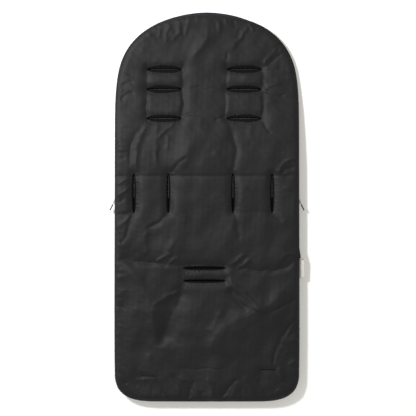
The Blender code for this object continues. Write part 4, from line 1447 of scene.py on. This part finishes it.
def eased(obj: bpy.types.Object, width: float) -> None:
    """Rounds the sharp edges of a rigid piece and shades it.

    Args:
        obj: The piece.
        width: How wide the rounding is.
    """
    step = obj.modifiers.new("eased", "BEVEL")
    step.width = width
    step.segments = 2
    step.limit_method = "ANGLE"
    step.angle_limit = math.radians(25)
    apply_all(obj)
    bpy.ops.object.shade_smooth_by_angle(angle=SMOOTH_ANGLE)


def merged_copy(node: str, name: str) -> bpy.types.Object:
    """Copies a rigid CAD piece and joins its loose triangles into whole faces.

    Args:
        node: The CAD node.
        name: The copy's name.

    Returns:
        The copy, in the CAD node's place.
    """
    form = bmesh.new()
    form.from_mesh(frame["nodes"][node].data)
    bmesh.ops.remove_doubles(form, verts=form.verts, dist=0.002 * MM)
    bmesh.ops.dissolve_limit(form, angle_limit=math.radians(1), verts=form.verts, edges=form.edges)
    return finished(name, form)


class Back:
    """The quilted back with its fleece lining, harness slots, sewn lines and bar tacks."""

    # The arch at the head end, which begins at one height, and its part that rolls over on the right
    arch_from, arch_blend = 330 * MM, 16 * MM
    rolled_over_x, rolled_blend = 100 * MM, 12 * MM

    # The shell's edge: how far inside the seam it lies at the arch, and outside it where it rolls over
    drawn_in, rolled_out = 1.0 * MM, 2.8 * MM

    # The shell's edge bulges above the label, between two heights
    bulge = 3.6 * MM
    bulge_y = (from_photo(0, 248)[1], from_photo(0, 258.6)[1])

    # The fleece's edge: how far it shows round the arch, and at its crown, and hides where it rolls over
    overhang, tucked = 1.9 * MM, 1.6 * MM
    crown, crown_reach = 0.9 * MM, 60 * MM

    # Below this height the fleece's edge lies behind the zips' tapes
    zipped_y, zipped_blend = 32 * MM, 5 * MM

    # How wide the stitching round a slot is
    gaping_edge = 6.0 * MM
    slot_edge_width = 2.3 * MM

    # Its rows on the shell cloth: how far out, in shares of its width, and how high in millimetres
    slot_crest = ((1.0, -0.8), (0.92, 0.05), (0.62, 0.5), (0.34, 0.4))

    # The rows of the stitching on the fleece: how far out and how high, in millimetres
    lining_edge = ((3.9, 0.6), (3.8, -0.2), (3.1, -0.5), (2.2, -0.5),
                   (1.4, -0.3), (0.9, 0.2), (1.2, 0.9), (3.0, 0.9))

    # The fleece's rows round a slot
    lip_rings = (1.0 * MM, 2.2 * MM, 3.6 * MM, 5.4 * MM, 8.0 * MM)

    # Sewn lines between slots, in the photograph's pixels: start, end and height
    photo_seams = ((186, 224, 88.3), (172, 232, 368.2))

    # How far a sewn line stops from an upright slot's middle, and the first and last from the edge
    seam_gap = 5.5 * MM
    seam_margin = 4 * MM

    def __init__(self, edge: Edge, finishes: Finishes) -> None:
        """Finds the slots and sets the form."""
        self.edge = edge
        self.finishes = finishes
        facings = sorted(name for name in frame["nodes"] if name.endswith("_slot_facing"))
        self.slots = [Slot.of(name) for name in facings]
        self.form = BackForm(edge, self.slots)
        self.uneven = Ripples(71, 34 * MM)

    def build(self) -> None:
        """Makes the back's pieces."""
        self.quilt()
        self.fleece()
        for slot in self.slots:
            self.slot_edge(slot)
        self.sewn_lines()
        self.bar_tacks()

    def arch(self) -> tuple[Points, Points]:
        """Returns how far each point of the edge belongs to the arch, and to its right part."""
        x, y = self.edge.loop.T
        share = step_up(y - self.arch_from, self.arch_blend)
        return share, share * step_up(x - self.rolled_over_x, self.rolled_blend)

    def shifted(self, shift: Points) -> Points:
        """Returns the edge with each point moved inwards by its own distance."""
        return self.edge.loop + shift[:, None] * (inset(self.edge.loop, 1.0) - self.edge.loop)

    def shell_outline(self) -> Points:
        """Returns the shell's edge: it rolls over the fleece on the right, and bulges above the label."""
        x, y = self.edge.loop.T
        arch, right = self.arch()
        top, low = self.bulge_y
        bulge = np.where((x > 0) & (y < top) & (y > low), (top - y) / (top - low), 0.0)
        return self.shifted(self.drawn_in * arch - self.rolled_out * right - self.bulge * bulge)

    def fleece_outline(self) -> Points:
        """Returns the fleece's edge, which shows round the arch and hides behind the zips' tapes."""
        x, y = self.edge.loop.T
        arch, right = self.arch()
        zipped = step_up(self.zipped_y - y, self.zipped_blend)
        shown = self.overhang + self.crown * bump(x, self.crown_reach)
        return self.shifted(zipped * TAPE_ALLOWANCE - shown * arch + self.tucked * right)

    def quilt(self) -> None:
        """Makes the shell cloth over its padding."""
        holes = [slot.loop((1.5 if slot.gapes else 1.0) * MM) for slot in self.slots]
        panel = Panel("back_quilt", self.shell_outline(), self.form.quilt_top, self.form.quilt_base, holes)
        obj = dress(panel.build(), self.finishes.shell, "shell_cloth", "back_shell", "back_wadding")
        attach(obj, "back_panel")

    def fleece(self) -> None:
        """Makes the lining, whose lips close the slots from below."""
        holes = [slot.loop(0.15 * MM - slot.half_width) for slot in self.slots]
        panel = Panel("back_fleece", self.fleece_outline(), self.form.fleece_under, self.form.fleece_top, holes,
                      rough=Rough.MEDIUM, twin=True, hole_rings=self.lip_rings)
        obj = dress(panel.build(), self.finishes.fleece, "lining_fleece", "back_lining")
        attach(obj, "back_panel")

    def slot_edge(self, slot: Slot) -> None:
        """Makes the rings of satin stitching that bind one slot, in the shell and in the fleece."""
        low, narrow = 0.6 - self.form.lip_depth / MM, -slot.narrowing
        wall = ((-0.3, -0.2), (0.75 * narrow, -1.1), (narrow, -2.2), (narrow, low), (0.2, low), (1.4, -2.6))
        middle = slot.loop(0.3 * MM)
        outward = inset(middle, -1.0 * MM) - middle
        along = np.clip(np.abs(slot.local(middle)[:, 0]) / slot.half_length, 0, 1)
        taper = 1 - (0.72 if slot.gapes else 0.55) * along**3
        width = (self.gaping_edge if slot.gapes else self.slot_edge_width) * taper
        width = width * (1 + 0.09 * self.uneven(middle))
        seat = self.form.quilt_top(slot.loop(1.5 * MM))
        seat = np.interp(np.linspace(0, 1, len(middle)), np.linspace(0, 1, len(seat)), seat)
        rings = []
        for share, up in self.slot_crest:
            ring = middle + (width * share)[:, None] * outward / MM
            rings.append(np.column_stack([ring, self.form.quilt_top(ring) + up * MM]))
        for out, up in wall:
            ring = middle + out * taper[:, None] * outward
            rings.append(np.column_stack([ring, np.maximum(seat + up * MM, 0.3 * MM)]))
        self.stitched(f"{slot.name}_edge", middle, rings, f"{slot.name}_slot_facing")
        rings = []
        for out, up in self.lining_edge:
            ring = middle + out * outward
            rings.append(np.column_stack([ring, np.maximum(self.form.fleece_under(ring) + up * MM, 0.1 * MM)]))
        self.stitched(f"{slot.name}_lining_edge", middle, rings[::-1])

    def stitched(self, name: str, middle: Points, rings: Sequence[Points], *nodes: str) -> None:
        """Makes a ring of satin stitching.

        Args:
            name: The ring's name.
            middle: The walk round the slot that it follows.
            rings: Its rings of points, each to be joined to the next.
            nodes: The CAD pieces that it replaces.
        """
        obj = banded(name, rings)
        mark = obj.data.attributes.new("along", "FLOAT", "POINT")
        mark.data.foreach_set("value", np.tile(distances(middle), len(rings)).astype(np.float32))
        dress(obj, self.finishes.satin_stitch, "black_tape", *nodes)
        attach(obj, "back_panel")

    def on_top(self, flat: Points) -> tuple[Points, Points]:
        """Returns places on the shell cloth and the way it faces there."""
        step = 0.8 * MM
        height = self.form.quilt_top(flat)
        over = self.form.quilt_top(flat + (step, 0))
        ahead = self.form.quilt_top(flat + (0, step))
        up = np.column_stack([height - over, height - ahead, np.full(len(flat), step)])
        return np.column_stack([flat, height]), unit(up)

    def sewn_lines(self) -> None:
        """Makes the stitches of the sewn lines across the back."""
        marks = [slot.x for slot in self.slots if slot.upright]
        reach = self.edge.half - self.seam_margin
        ends = sorted([-reach, *marks, reach])
        lines = [(a + self.seam_gap, b - self.seam_gap, self.form.seam_y) for a, b in zip(ends, ends[1:])]
        for left, right, height in self.photo_seams:
            lines.append((from_photo(left, 0)[0], *from_photo(right, height)))
        for count, (start, end, y) in enumerate(lines, 1):
            across = np.linspace(start, end, max(2, round((end - start) / (2 * MM))))
            path, up = self.on_top(np.column_stack([across, np.full(len(across), y)]))
            obj = Stitching(f"back_stitches_{count}", path, up).build()
            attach(dress(obj, self.finishes.thread, "shell_cloth"), "back_panel")

    def bar_tacks(self) -> None:
        """Makes the two bars of close stitching near the foot."""
        for name in ("left_bar_tack", "right_bar_tack"):
            low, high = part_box(name)
            across = np.linspace(low.x, high.x, 20)
            path, up = self.on_top(np.column_stack([across, np.full(20, (low.y + high.y) / 2)]))
            obj = Stitching(name.replace("bar_tack", "tack"), path, up, pitch=0.62 * MM, length=2.6 * MM,
                            gauge=0.75 * MM, across=True).build()
            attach(dress(obj, self.finishes.satin_stitch, "black_tape", name), "back_panel")


class Cover:
    """The front cover with its fleece, its bound upper edge and the gusset round the foot."""

    fold_reach = 13 * MM

    # The binding's sway, and how far its stitches lie from its edge and above it
    binding_sway = 0.25 * MM
    binding_margin, binding_above = 1.3 * MM, 0.05 * MM

    # The gusset: how far inside the outline it stands, and how far past its CAD piece it goes each way
    gusset_inset = 1.7 * MM
    gusset_past, gusset_below, gusset_above = 0.2 * MM, 0.7 * MM, 2.4 * MM

    # Its gathers' wavelengths in millimetres and their height, and how far it bulges
    gusset_waves = (8.5, 11.5, 17, 31)
    gusset_gathers, gusset_bulge = 0.5 * MM, 1.0 * MM

    def __init__(self, edge: Edge, finishes: Finishes) -> None:
        """Reads the cover's sizes from the CAD."""
        self.edge = edge
        self.finishes = finishes
        low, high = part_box("apron_shell")
        self.fold_y = low.y
        self.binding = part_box("apron_binding")
        seam = cad_loops("apron_shell")[0]
        self.form = CoverForm(edge, high.y, seam[:, 2].max(), self.binding[0].z)

    def build(self) -> None:
        """Makes the cover's pieces."""
        outline = self.form.outline()
        quilt = Panel("cover_quilt", outline, self.form.shell, self.form.quilt_back)
        nodes = ("foot_shell", "foot_wadding", "apron_shell", "apron_wadding")
        self.hinge(dress(quilt.build(), self.finishes.shell, "shell_cloth", *nodes))
        behind = self.form.outline(TAPE_ALLOWANCE)
        fleece = Panel("cover_fleece", behind, self.form.fleece, self.form.fleece_back, rough=Rough.MEDIUM)
        nodes = ("foot_lining", "apron_lining")
        self.hinge(dress(fleece.build(), self.finishes.fleece, "lining_fleece", *nodes))
        self.bound_edge()
        self.gusset()

    def hinge(self, obj: bpy.types.Object) -> None:
        """Bakes a piece's place, turn and scale into its mesh."""
        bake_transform(obj)

    def bound_edge(self) -> None:
        """Makes the tape that binds the cover's upper edge, and its stitches."""
        low, high = self.binding
        across = np.linspace(low.x, high.x, 190)
        sway = swaying(51, 26 * MM, across) * self.binding_sway
        half = (high.z - low.z) / 2
        turns = np.linspace(-math.pi / 2, math.pi / 2, 9)
        rings = []
        for x, lift in zip(across, sway):
            nose = [(high.y - half + half * math.cos(t) * 0.9, half * math.sin(t)) for t in turns]
            profile = [(low.y, -half), *nose, (low.y, half)]
            rings.append(np.array([(x, y + lift, low.z + half + z + lift) for y, z in profile]))
        cloth = banded("cover_binding", rings, closed=False)
        obj = dress(cloth, self.finishes.tape, "black_tape", "apron_binding")
        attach(obj, "apron")
        for word, level, way in (("inner", high.z, 1.0), ("outer", low.z, -1.0)):
            height = level + sway + way * self.binding_above
            path = np.column_stack([across, low.y + self.binding_margin + sway, height])
            up = np.tile([0.0, 0.0, way], (len(path), 1))
            row = Stitching(f"{word}_binding_stitches", path, up).build()
            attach(dress(row, self.finishes.thread, "black_tape"), "apron")

    def gusset(self) -> None:
        """Makes the gathered strip of shell cloth that joins cover and back round the foot."""
        low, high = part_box("foot_gusset")
        flat = cut_off(inset(self.edge.loop, self.gusset_inset), high.y)
        flat[[0, -1], 1] = high.y + self.gusset_past
        run = unit(np.gradient(flat, axis=0))
        out = np.column_stack([run[:, 1], -run[:, 0], np.zeros(len(run))])
        base, top = low.z - self.gusset_below, high.z + self.gusset_above
        centre = np.column_stack([flat, np.full(len(flat), (base + top) / 2)])
        columns = 9
        middle = 1 - np.linspace(-1, 1, columns)[None, :] ** 2
        along = np.arange(len(flat)) * EDGE_STEP
        phases = np.random.default_rng(9).uniform(0, math.tau, len(self.gusset_waves))
        gathers = sum(np.sin(math.tau * along / (wave * MM) + phase)
                      for wave, phase in zip(self.gusset_waves, phases))
        ends = np.clip(np.minimum(along, along[-1] - along) / (20 * MM), 0, 1)
        waves = (self.gusset_gathers * gathers * ends)[:, None] * middle**0.5
        waves += self.gusset_bulge * ends[:, None] * middle
        up = np.tile([0.0, 0.0, 1.0], (len(flat), 1))
        strip = Ribbon("foot_side", centre, up, out, top - base, 1.0 * MM, columns, waves)
        obj = dress(strip.build(), self.finishes.shell, "shell_cloth", "foot_gusset")
        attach(obj, "back_panel")


class Side(Enum):
    """The two sides of the footmuff, each with its sign along X."""

    LEFT = -1
    RIGHT = 1

    @property
    def word(self) -> str:
        """Returns the side's name in lower case."""
        return self.name.lower()


@dataclass
class SideZip:
    """The moulded zip down one side.

    Attributes:
        side: Which side it closes.
        finishes: The materials.
        pitch: How far apart the teeth of one row are.
        root: A tooth's width where it grips the tape, along the zip.
        thickness: A tooth's thickness.
    """

    side: Side
    finishes: Finishes
    pitch: float = 2.75 * MM
    root: float = 1.75 * MM
    thickness: float = 2.2 * MM

    # A tape's middle line from its free edge: places along, the inward way and on, in millimetres. The
    # first number of each counts inwards, and the second from the seam's height
    seam_line = ((0.0, -0.6), (0.3, 0.9), (2.0, 2.0), (8.2, 2.3))

    # Where rows cross the tape past the bottom stop, and how close to each other the tapes come there
    past_stop = (-0.8, 0.2, 1.2)
    tape_gap = 0.15 * MM

    # A tooth: its grip on the tape, how deep that sits in it, and its sections as height in millimetres,
    # width and thickness
    grip, grip_depth = 1.25 * MM, 0.25 * MM
    sections = ((0.10, 0.62, 0.80), (0.75, 1.0, 1.0), (0.45, 1.42, 1.0), (0.35, 1.0, 0.96), (0.30, 0.58, 0.85))

    # Where the first tooth of the front cover's row and of the back's stands, in pitches
    first_rising, first_hanging = 0.6, 1.1

    def build(self) -> None:
        """Makes the zip's pieces."""
        word = self.side.word
        for part, body in (("back", "back_panel"), ("apron", "apron")):
            self.tape(f"{word}_{part}_tape", body)
            self.teeth(f"{word}_{part}_teeth", body, part == "apron")
            self.hard(f"{word}_{part}_stop", body, 0.3 * MM)
        self.hard(f"{word}_bottom_stop", "back_panel", 0.3 * MM)
        self.hard(f"{word}_slider", f"{word}_slider", 0.28 * MM)
        self.hard(f"{word}_puller", f"{word}_puller", 0.22 * MM)

    def tape(self, node: str, body: str) -> None:
        """Makes one woven tape, which turns inwards into the seam, and the stitches that hold it."""
        low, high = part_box(node)
        sign, middle = self.side.value, (low.x + high.x) / 2
        turn = 1.0 if body == "back_panel" else -1.0
        free, sewn = (low.z, high.z) if turn > 0 else (high.z, low.z)
        seam = [(middle - sign * inwards * MM, sewn + turn * on * MM) for inwards, on in self.seam_line]
        line = smooth_path(np.array([(middle, free), *seam]), 1.0 * MM)
        run = unit(np.gradient(line, axis=0))
        out = np.column_stack([run[:, 1], -run[:, 0]]) * (high.x - low.x) / 2
        profile = np.concatenate([line + out, (line - out)[::-1]])
        stop_low, stop_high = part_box(f"{self.side.word}_bottom_stop")
        past_stop = stop_low.y - np.array(self.past_stop) * MM
        along = np.union1d(np.linspace(low.y, high.y, round((high.y - low.y) / (3 * MM))), past_stop)
        sway = swaying(60 + sign, 30 * MM, along) * 0.08 * MM
        # Past the bottom stop the two tapes close up
        gap = abs(free - (stop_low.z + stop_high.z) / 2) - self.tape_gap
        closing = turn * gap * np.clip(1 - np.abs(profile[:, 1] - free) / (2.5 * MM), 0, 1)
        closed = np.clip((stop_low.y + 0.8 * MM - along) / (2 * MM), 0, 1)
        level = np.ones(len(profile))
        rings = [np.column_stack([profile[:, 0] + shift, level * y, profile[:, 1] - share * closing])
                 for y, shift, share in zip(along, sway, closed)]
        obj = dress(banded(f"{node}_cloth", rings, closed=False), self.finishes.tape, "black_tape", node)
        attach(obj, body)
        path = np.column_stack([middle + sway + sign * (high.x - low.x) / 2, along,
                                np.full(len(along), sewn - turn * 0.8 * MM)])
        facing = np.tile([float(sign), 0.0, 0.0], (len(along), 1))
        row = Stitching(f"{node}_stitches", path, facing, gauge=0.4 * MM).build()
        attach(dress(row, self.finishes.thread, "black_tape"), body)

    def teeth(self, node: str, body: str, rising: bool) -> None:
        """Models one tooth, and repeats it along the row."""
        low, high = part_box(node)
        seat = low.z - self.grip_depth if rising else high.z + self.grip_depth
        way = 1.0 if rising else -1.0
        x = (low.x + high.x) / 2
        first = low.y + self.pitch * (self.first_rising if rising else self.first_hanging)
        deselect()
        bpy.ops.mesh.primitive_cube_add(size=1, location=(x, first, seat + way * self.grip / 2))
        obj = bpy.context.object
        obj.name = f"{node}_row"
        obj.scale = (self.thickness, self.root, self.grip)
        bpy.ops.object.transform_apply(location=False, rotation=False, scale=True)
        bpy.ops.object.mode_set(mode="EDIT")
        bpy.ops.mesh.select_all(action="DESELECT")
        bpy.ops.object.mode_set(mode="OBJECT")
        for face in obj.data.polygons:
            face.select = face.normal.z * way > 0.9
        bpy.ops.object.mode_set(mode="EDIT")
        reach = self.grip
        for up, wide, thick in self.sections:
            reach += up * MM
            move = {"value": (0, 0, way * up * MM)}
            bpy.ops.mesh.extrude_region_move(TRANSFORM_OT_translate=move)
            centre = (x, first, seat + way * reach)
            bpy.ops.transform.resize(value=(thick, wide, 1), center_override=centre)
        bpy.ops.object.mode_set(mode="OBJECT")
        count = int((high.y - low.y - self.pitch * 1.2) / self.pitch)
        row = obj.modifiers.new("row", "ARRAY")
        row.count = count
        row.use_relative_offset = False
        row.use_constant_offset = True
        row.constant_offset_displace = (0, self.pitch, 0)
        apply_all(obj)
        bpy.ops.object.shade_smooth_by_angle(angle=SMOOTH_ANGLE)
        dress(obj, self.finishes.teeth, "zip_teeth", node)
        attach(obj, body)

    def hard(self, node: str, body: str, width: float) -> None:
        """Makes a slider, puller or stop with rounded edges."""
        obj = merged_copy(node, f"{node}_metal")
        eased(obj, width)
        dress(obj, self.finishes.enamel, "black_enamel", node)
        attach(obj, body)


class SideLabel:
    """The bare woven label, a folded loop that stands out of the right side seam."""

    # How far past its CAD piece it goes each way, how far its tip hangs, and how far it curls
    past, above, fall, curl = 0.4 * MM, 0.2 * MM, 2.4 * MM, 0.5 * MM
    columns = 15

    def __init__(self, finishes: Finishes) -> None:
        """Keeps the materials."""
        self.finishes = finishes

    def build(self) -> None:
        """Makes the label."""
        low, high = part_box("side_label")
        root, tip = low.x - self.past, high.x + self.past
        base = high.z + self.above
        bent, hung = base - self.fall * 0.6, base - self.fall
        marks = [(root, base + 0.45 * MM), (root + 4 * MM, base + 0.6 * MM), (tip - 4 * MM, bent),
                 (tip - 0.8 * MM, hung + 0.35 * MM), (tip, hung), (tip - 0.8 * MM, hung - 0.5 * MM),
                 (tip - 4 * MM, bent - 0.9 * MM), (root + 4 * MM, base - 0.4 * MM), (root, base - 0.4 * MM)]
        path = smooth_path(np.array(marks), 0.5 * MM)
        centre = np.column_stack([path[:, 0], np.full(len(path), (low.y + high.y) / 2), path[:, 1]])
        run = unit(np.gradient(path, axis=0))
        facing = np.column_stack([-run[:, 1], np.zeros(len(run)), run[:, 0]])
        across = np.tile([0.0, 1.0, 0.0], (len(path), 1))
        share = np.linspace(-1, 1, self.columns)
        out = np.clip((path[:, :1] - root) / (tip - root), 0, 1)
        curl = self.curl * out * np.sin(share * 2.3 + 0.6)[None, :] * np.sign(facing[:, 2:])
        strip = Ribbon("side_label_cloth", centre, across, facing, high.y - low.y, 0.3 * MM, self.columns, curl)
        obj = dress(strip.build(), self.finishes.satin, "label_satin", "side_label")
        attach(obj, "back_panel")


class Studio:
    """The camera, the lamp, the surroundings and the floor."""

    # The camera: its height, its focal length in millimetres, and the pixel it looks at
    distance = 4.826
    lens = 170.0
    looks_at = (208.0, 208.0)

    # The lamp: its angle above the floor, its distance, the way it stands in, its size and its power
    lamp_height = math.radians(52.5)
    lamp_distance = 2.6
    lamp_way = (-8.5, 6.0, 0.0)
    lamp_size = 0.30
    lamp_power = 59.0

    # How bright the surroundings are at the horizon and overhead
    world_strengths = (1.0, 0.25)

    # The paper: its colour, the colour that it glows in for the camera, and how strongly
    paper = (0.90, 0.885, 0.85, 1.0)
    glow_colour = (1.0, 0.97, 0.90, 1.0)
    glow = 0.24

    def build(self) -> None:
        """Sets the studio up."""
        self.camera()
        self.lamp()
        self.world()
        self.floor()
        bpy.context.scene.view_settings.view_transform = "Standard"

    def camera(self) -> None:
        """Hangs the camera straight above the middle of the photograph."""
        data = bpy.data.cameras.new("camera")
        data.lens = self.lens
        data.clip_start, data.clip_end = 0.01, 20.0
        obj = placed("camera", data)
        obj.location = (*from_photo(*self.looks_at), self.distance)
        bpy.context.scene.camera = obj

    def lamp(self) -> None:
        """Hangs the soft key light to the upper left."""
        data = bpy.data.lights.new("key", "AREA")
        data.shape = "SQUARE"
        data.size = self.lamp_size
        data.energy = self.lamp_power
        obj = placed("key", data)
        aside = Vector(self.lamp_way).normalized() * math.cos(self.lamp_height)
        obj.location = (aside + Vector((0, 0, math.sin(self.lamp_height)))) * self.lamp_distance
        obj.rotation_euler = obj.location.to_track_quat("Z", "Y").to_euler()

    def world(self) -> None:
        """Fills the shadows from all round."""
        world = bpy.data.worlds.new("world")
        bpy.context.scene.world = world
        world.use_nodes = True
        tree = world.node_tree
        way = add(tree, "ShaderNodeTexCoord").outputs["Generated"]
        upright = add(tree, "ShaderNodeSeparateXYZ", {"Vector": way}).outputs["Z"]
        low, high = self.world_strengths
        span = {"Value": upright, "From Min": 0.0, "From Max": 1.0, "To Min": low, "To Max": high}
        strength = add(tree, "ShaderNodeMapRange", span, clamp=True).outputs[0]
        shade = tree.nodes["Background"]
        shade.inputs["Color"].default_value = (1.0, 1.0, 1.0, 1.0)
        tree.links.new(strength, shade.inputs["Strength"])

    def floor(self) -> None:
        """Lays the white floor, which still takes the shadow."""
        bpy.ops.mesh.primitive_plane_add(size=8.0, location=(0, 0, -0.2 * MM))
        obj = bpy.context.object
        obj.name = "floor"
        made = bpy.data.materials.new("white_paper")
        made.use_nodes = True
        tree = made.node_tree
        tree.nodes.remove(tree.nodes["Principled BSDF"])
        matt = add(tree, "ShaderNodeBsdfDiffuse", {"Color": self.paper})
        path = add(tree, "ShaderNodeLightPath")
        seen = maths(tree, "MAXIMUM", path.outputs["Is Camera Ray"], path.outputs["Is Glossy Ray"])
        lift = maths(tree, "MULTIPLY", seen, self.glow)
        glow = add(tree, "ShaderNodeEmission", {"Color": self.glow_colour, "Strength": lift})
        both = add(tree, "ShaderNodeAddShader", {0: matt.outputs[0], 1: glow.outputs[0]})
        tree.links.new(both.outputs[0], tree.nodes["Material Output"].inputs["Surface"])
        obj.data.materials.append(made)


def main() -> None:
    """Builds every piece in order."""
    logging.basicConfig(level=logging.INFO, format="%(message)s")
    finishes = Finishes()
    elastic = frame["nodes"]["head_elastic"]
    elastic.data.materials.clear()
    elastic.data.materials.append(finishes.tape)
    edge = Edge()
    Studio().build()
    Back(edge, finishes).build()
    Cover(edge, finishes).build()
    for side in Side:
        SideZip(side, finishes).build()
    SideLabel(finishes).build()


if __name__ == "__main__":
    main()
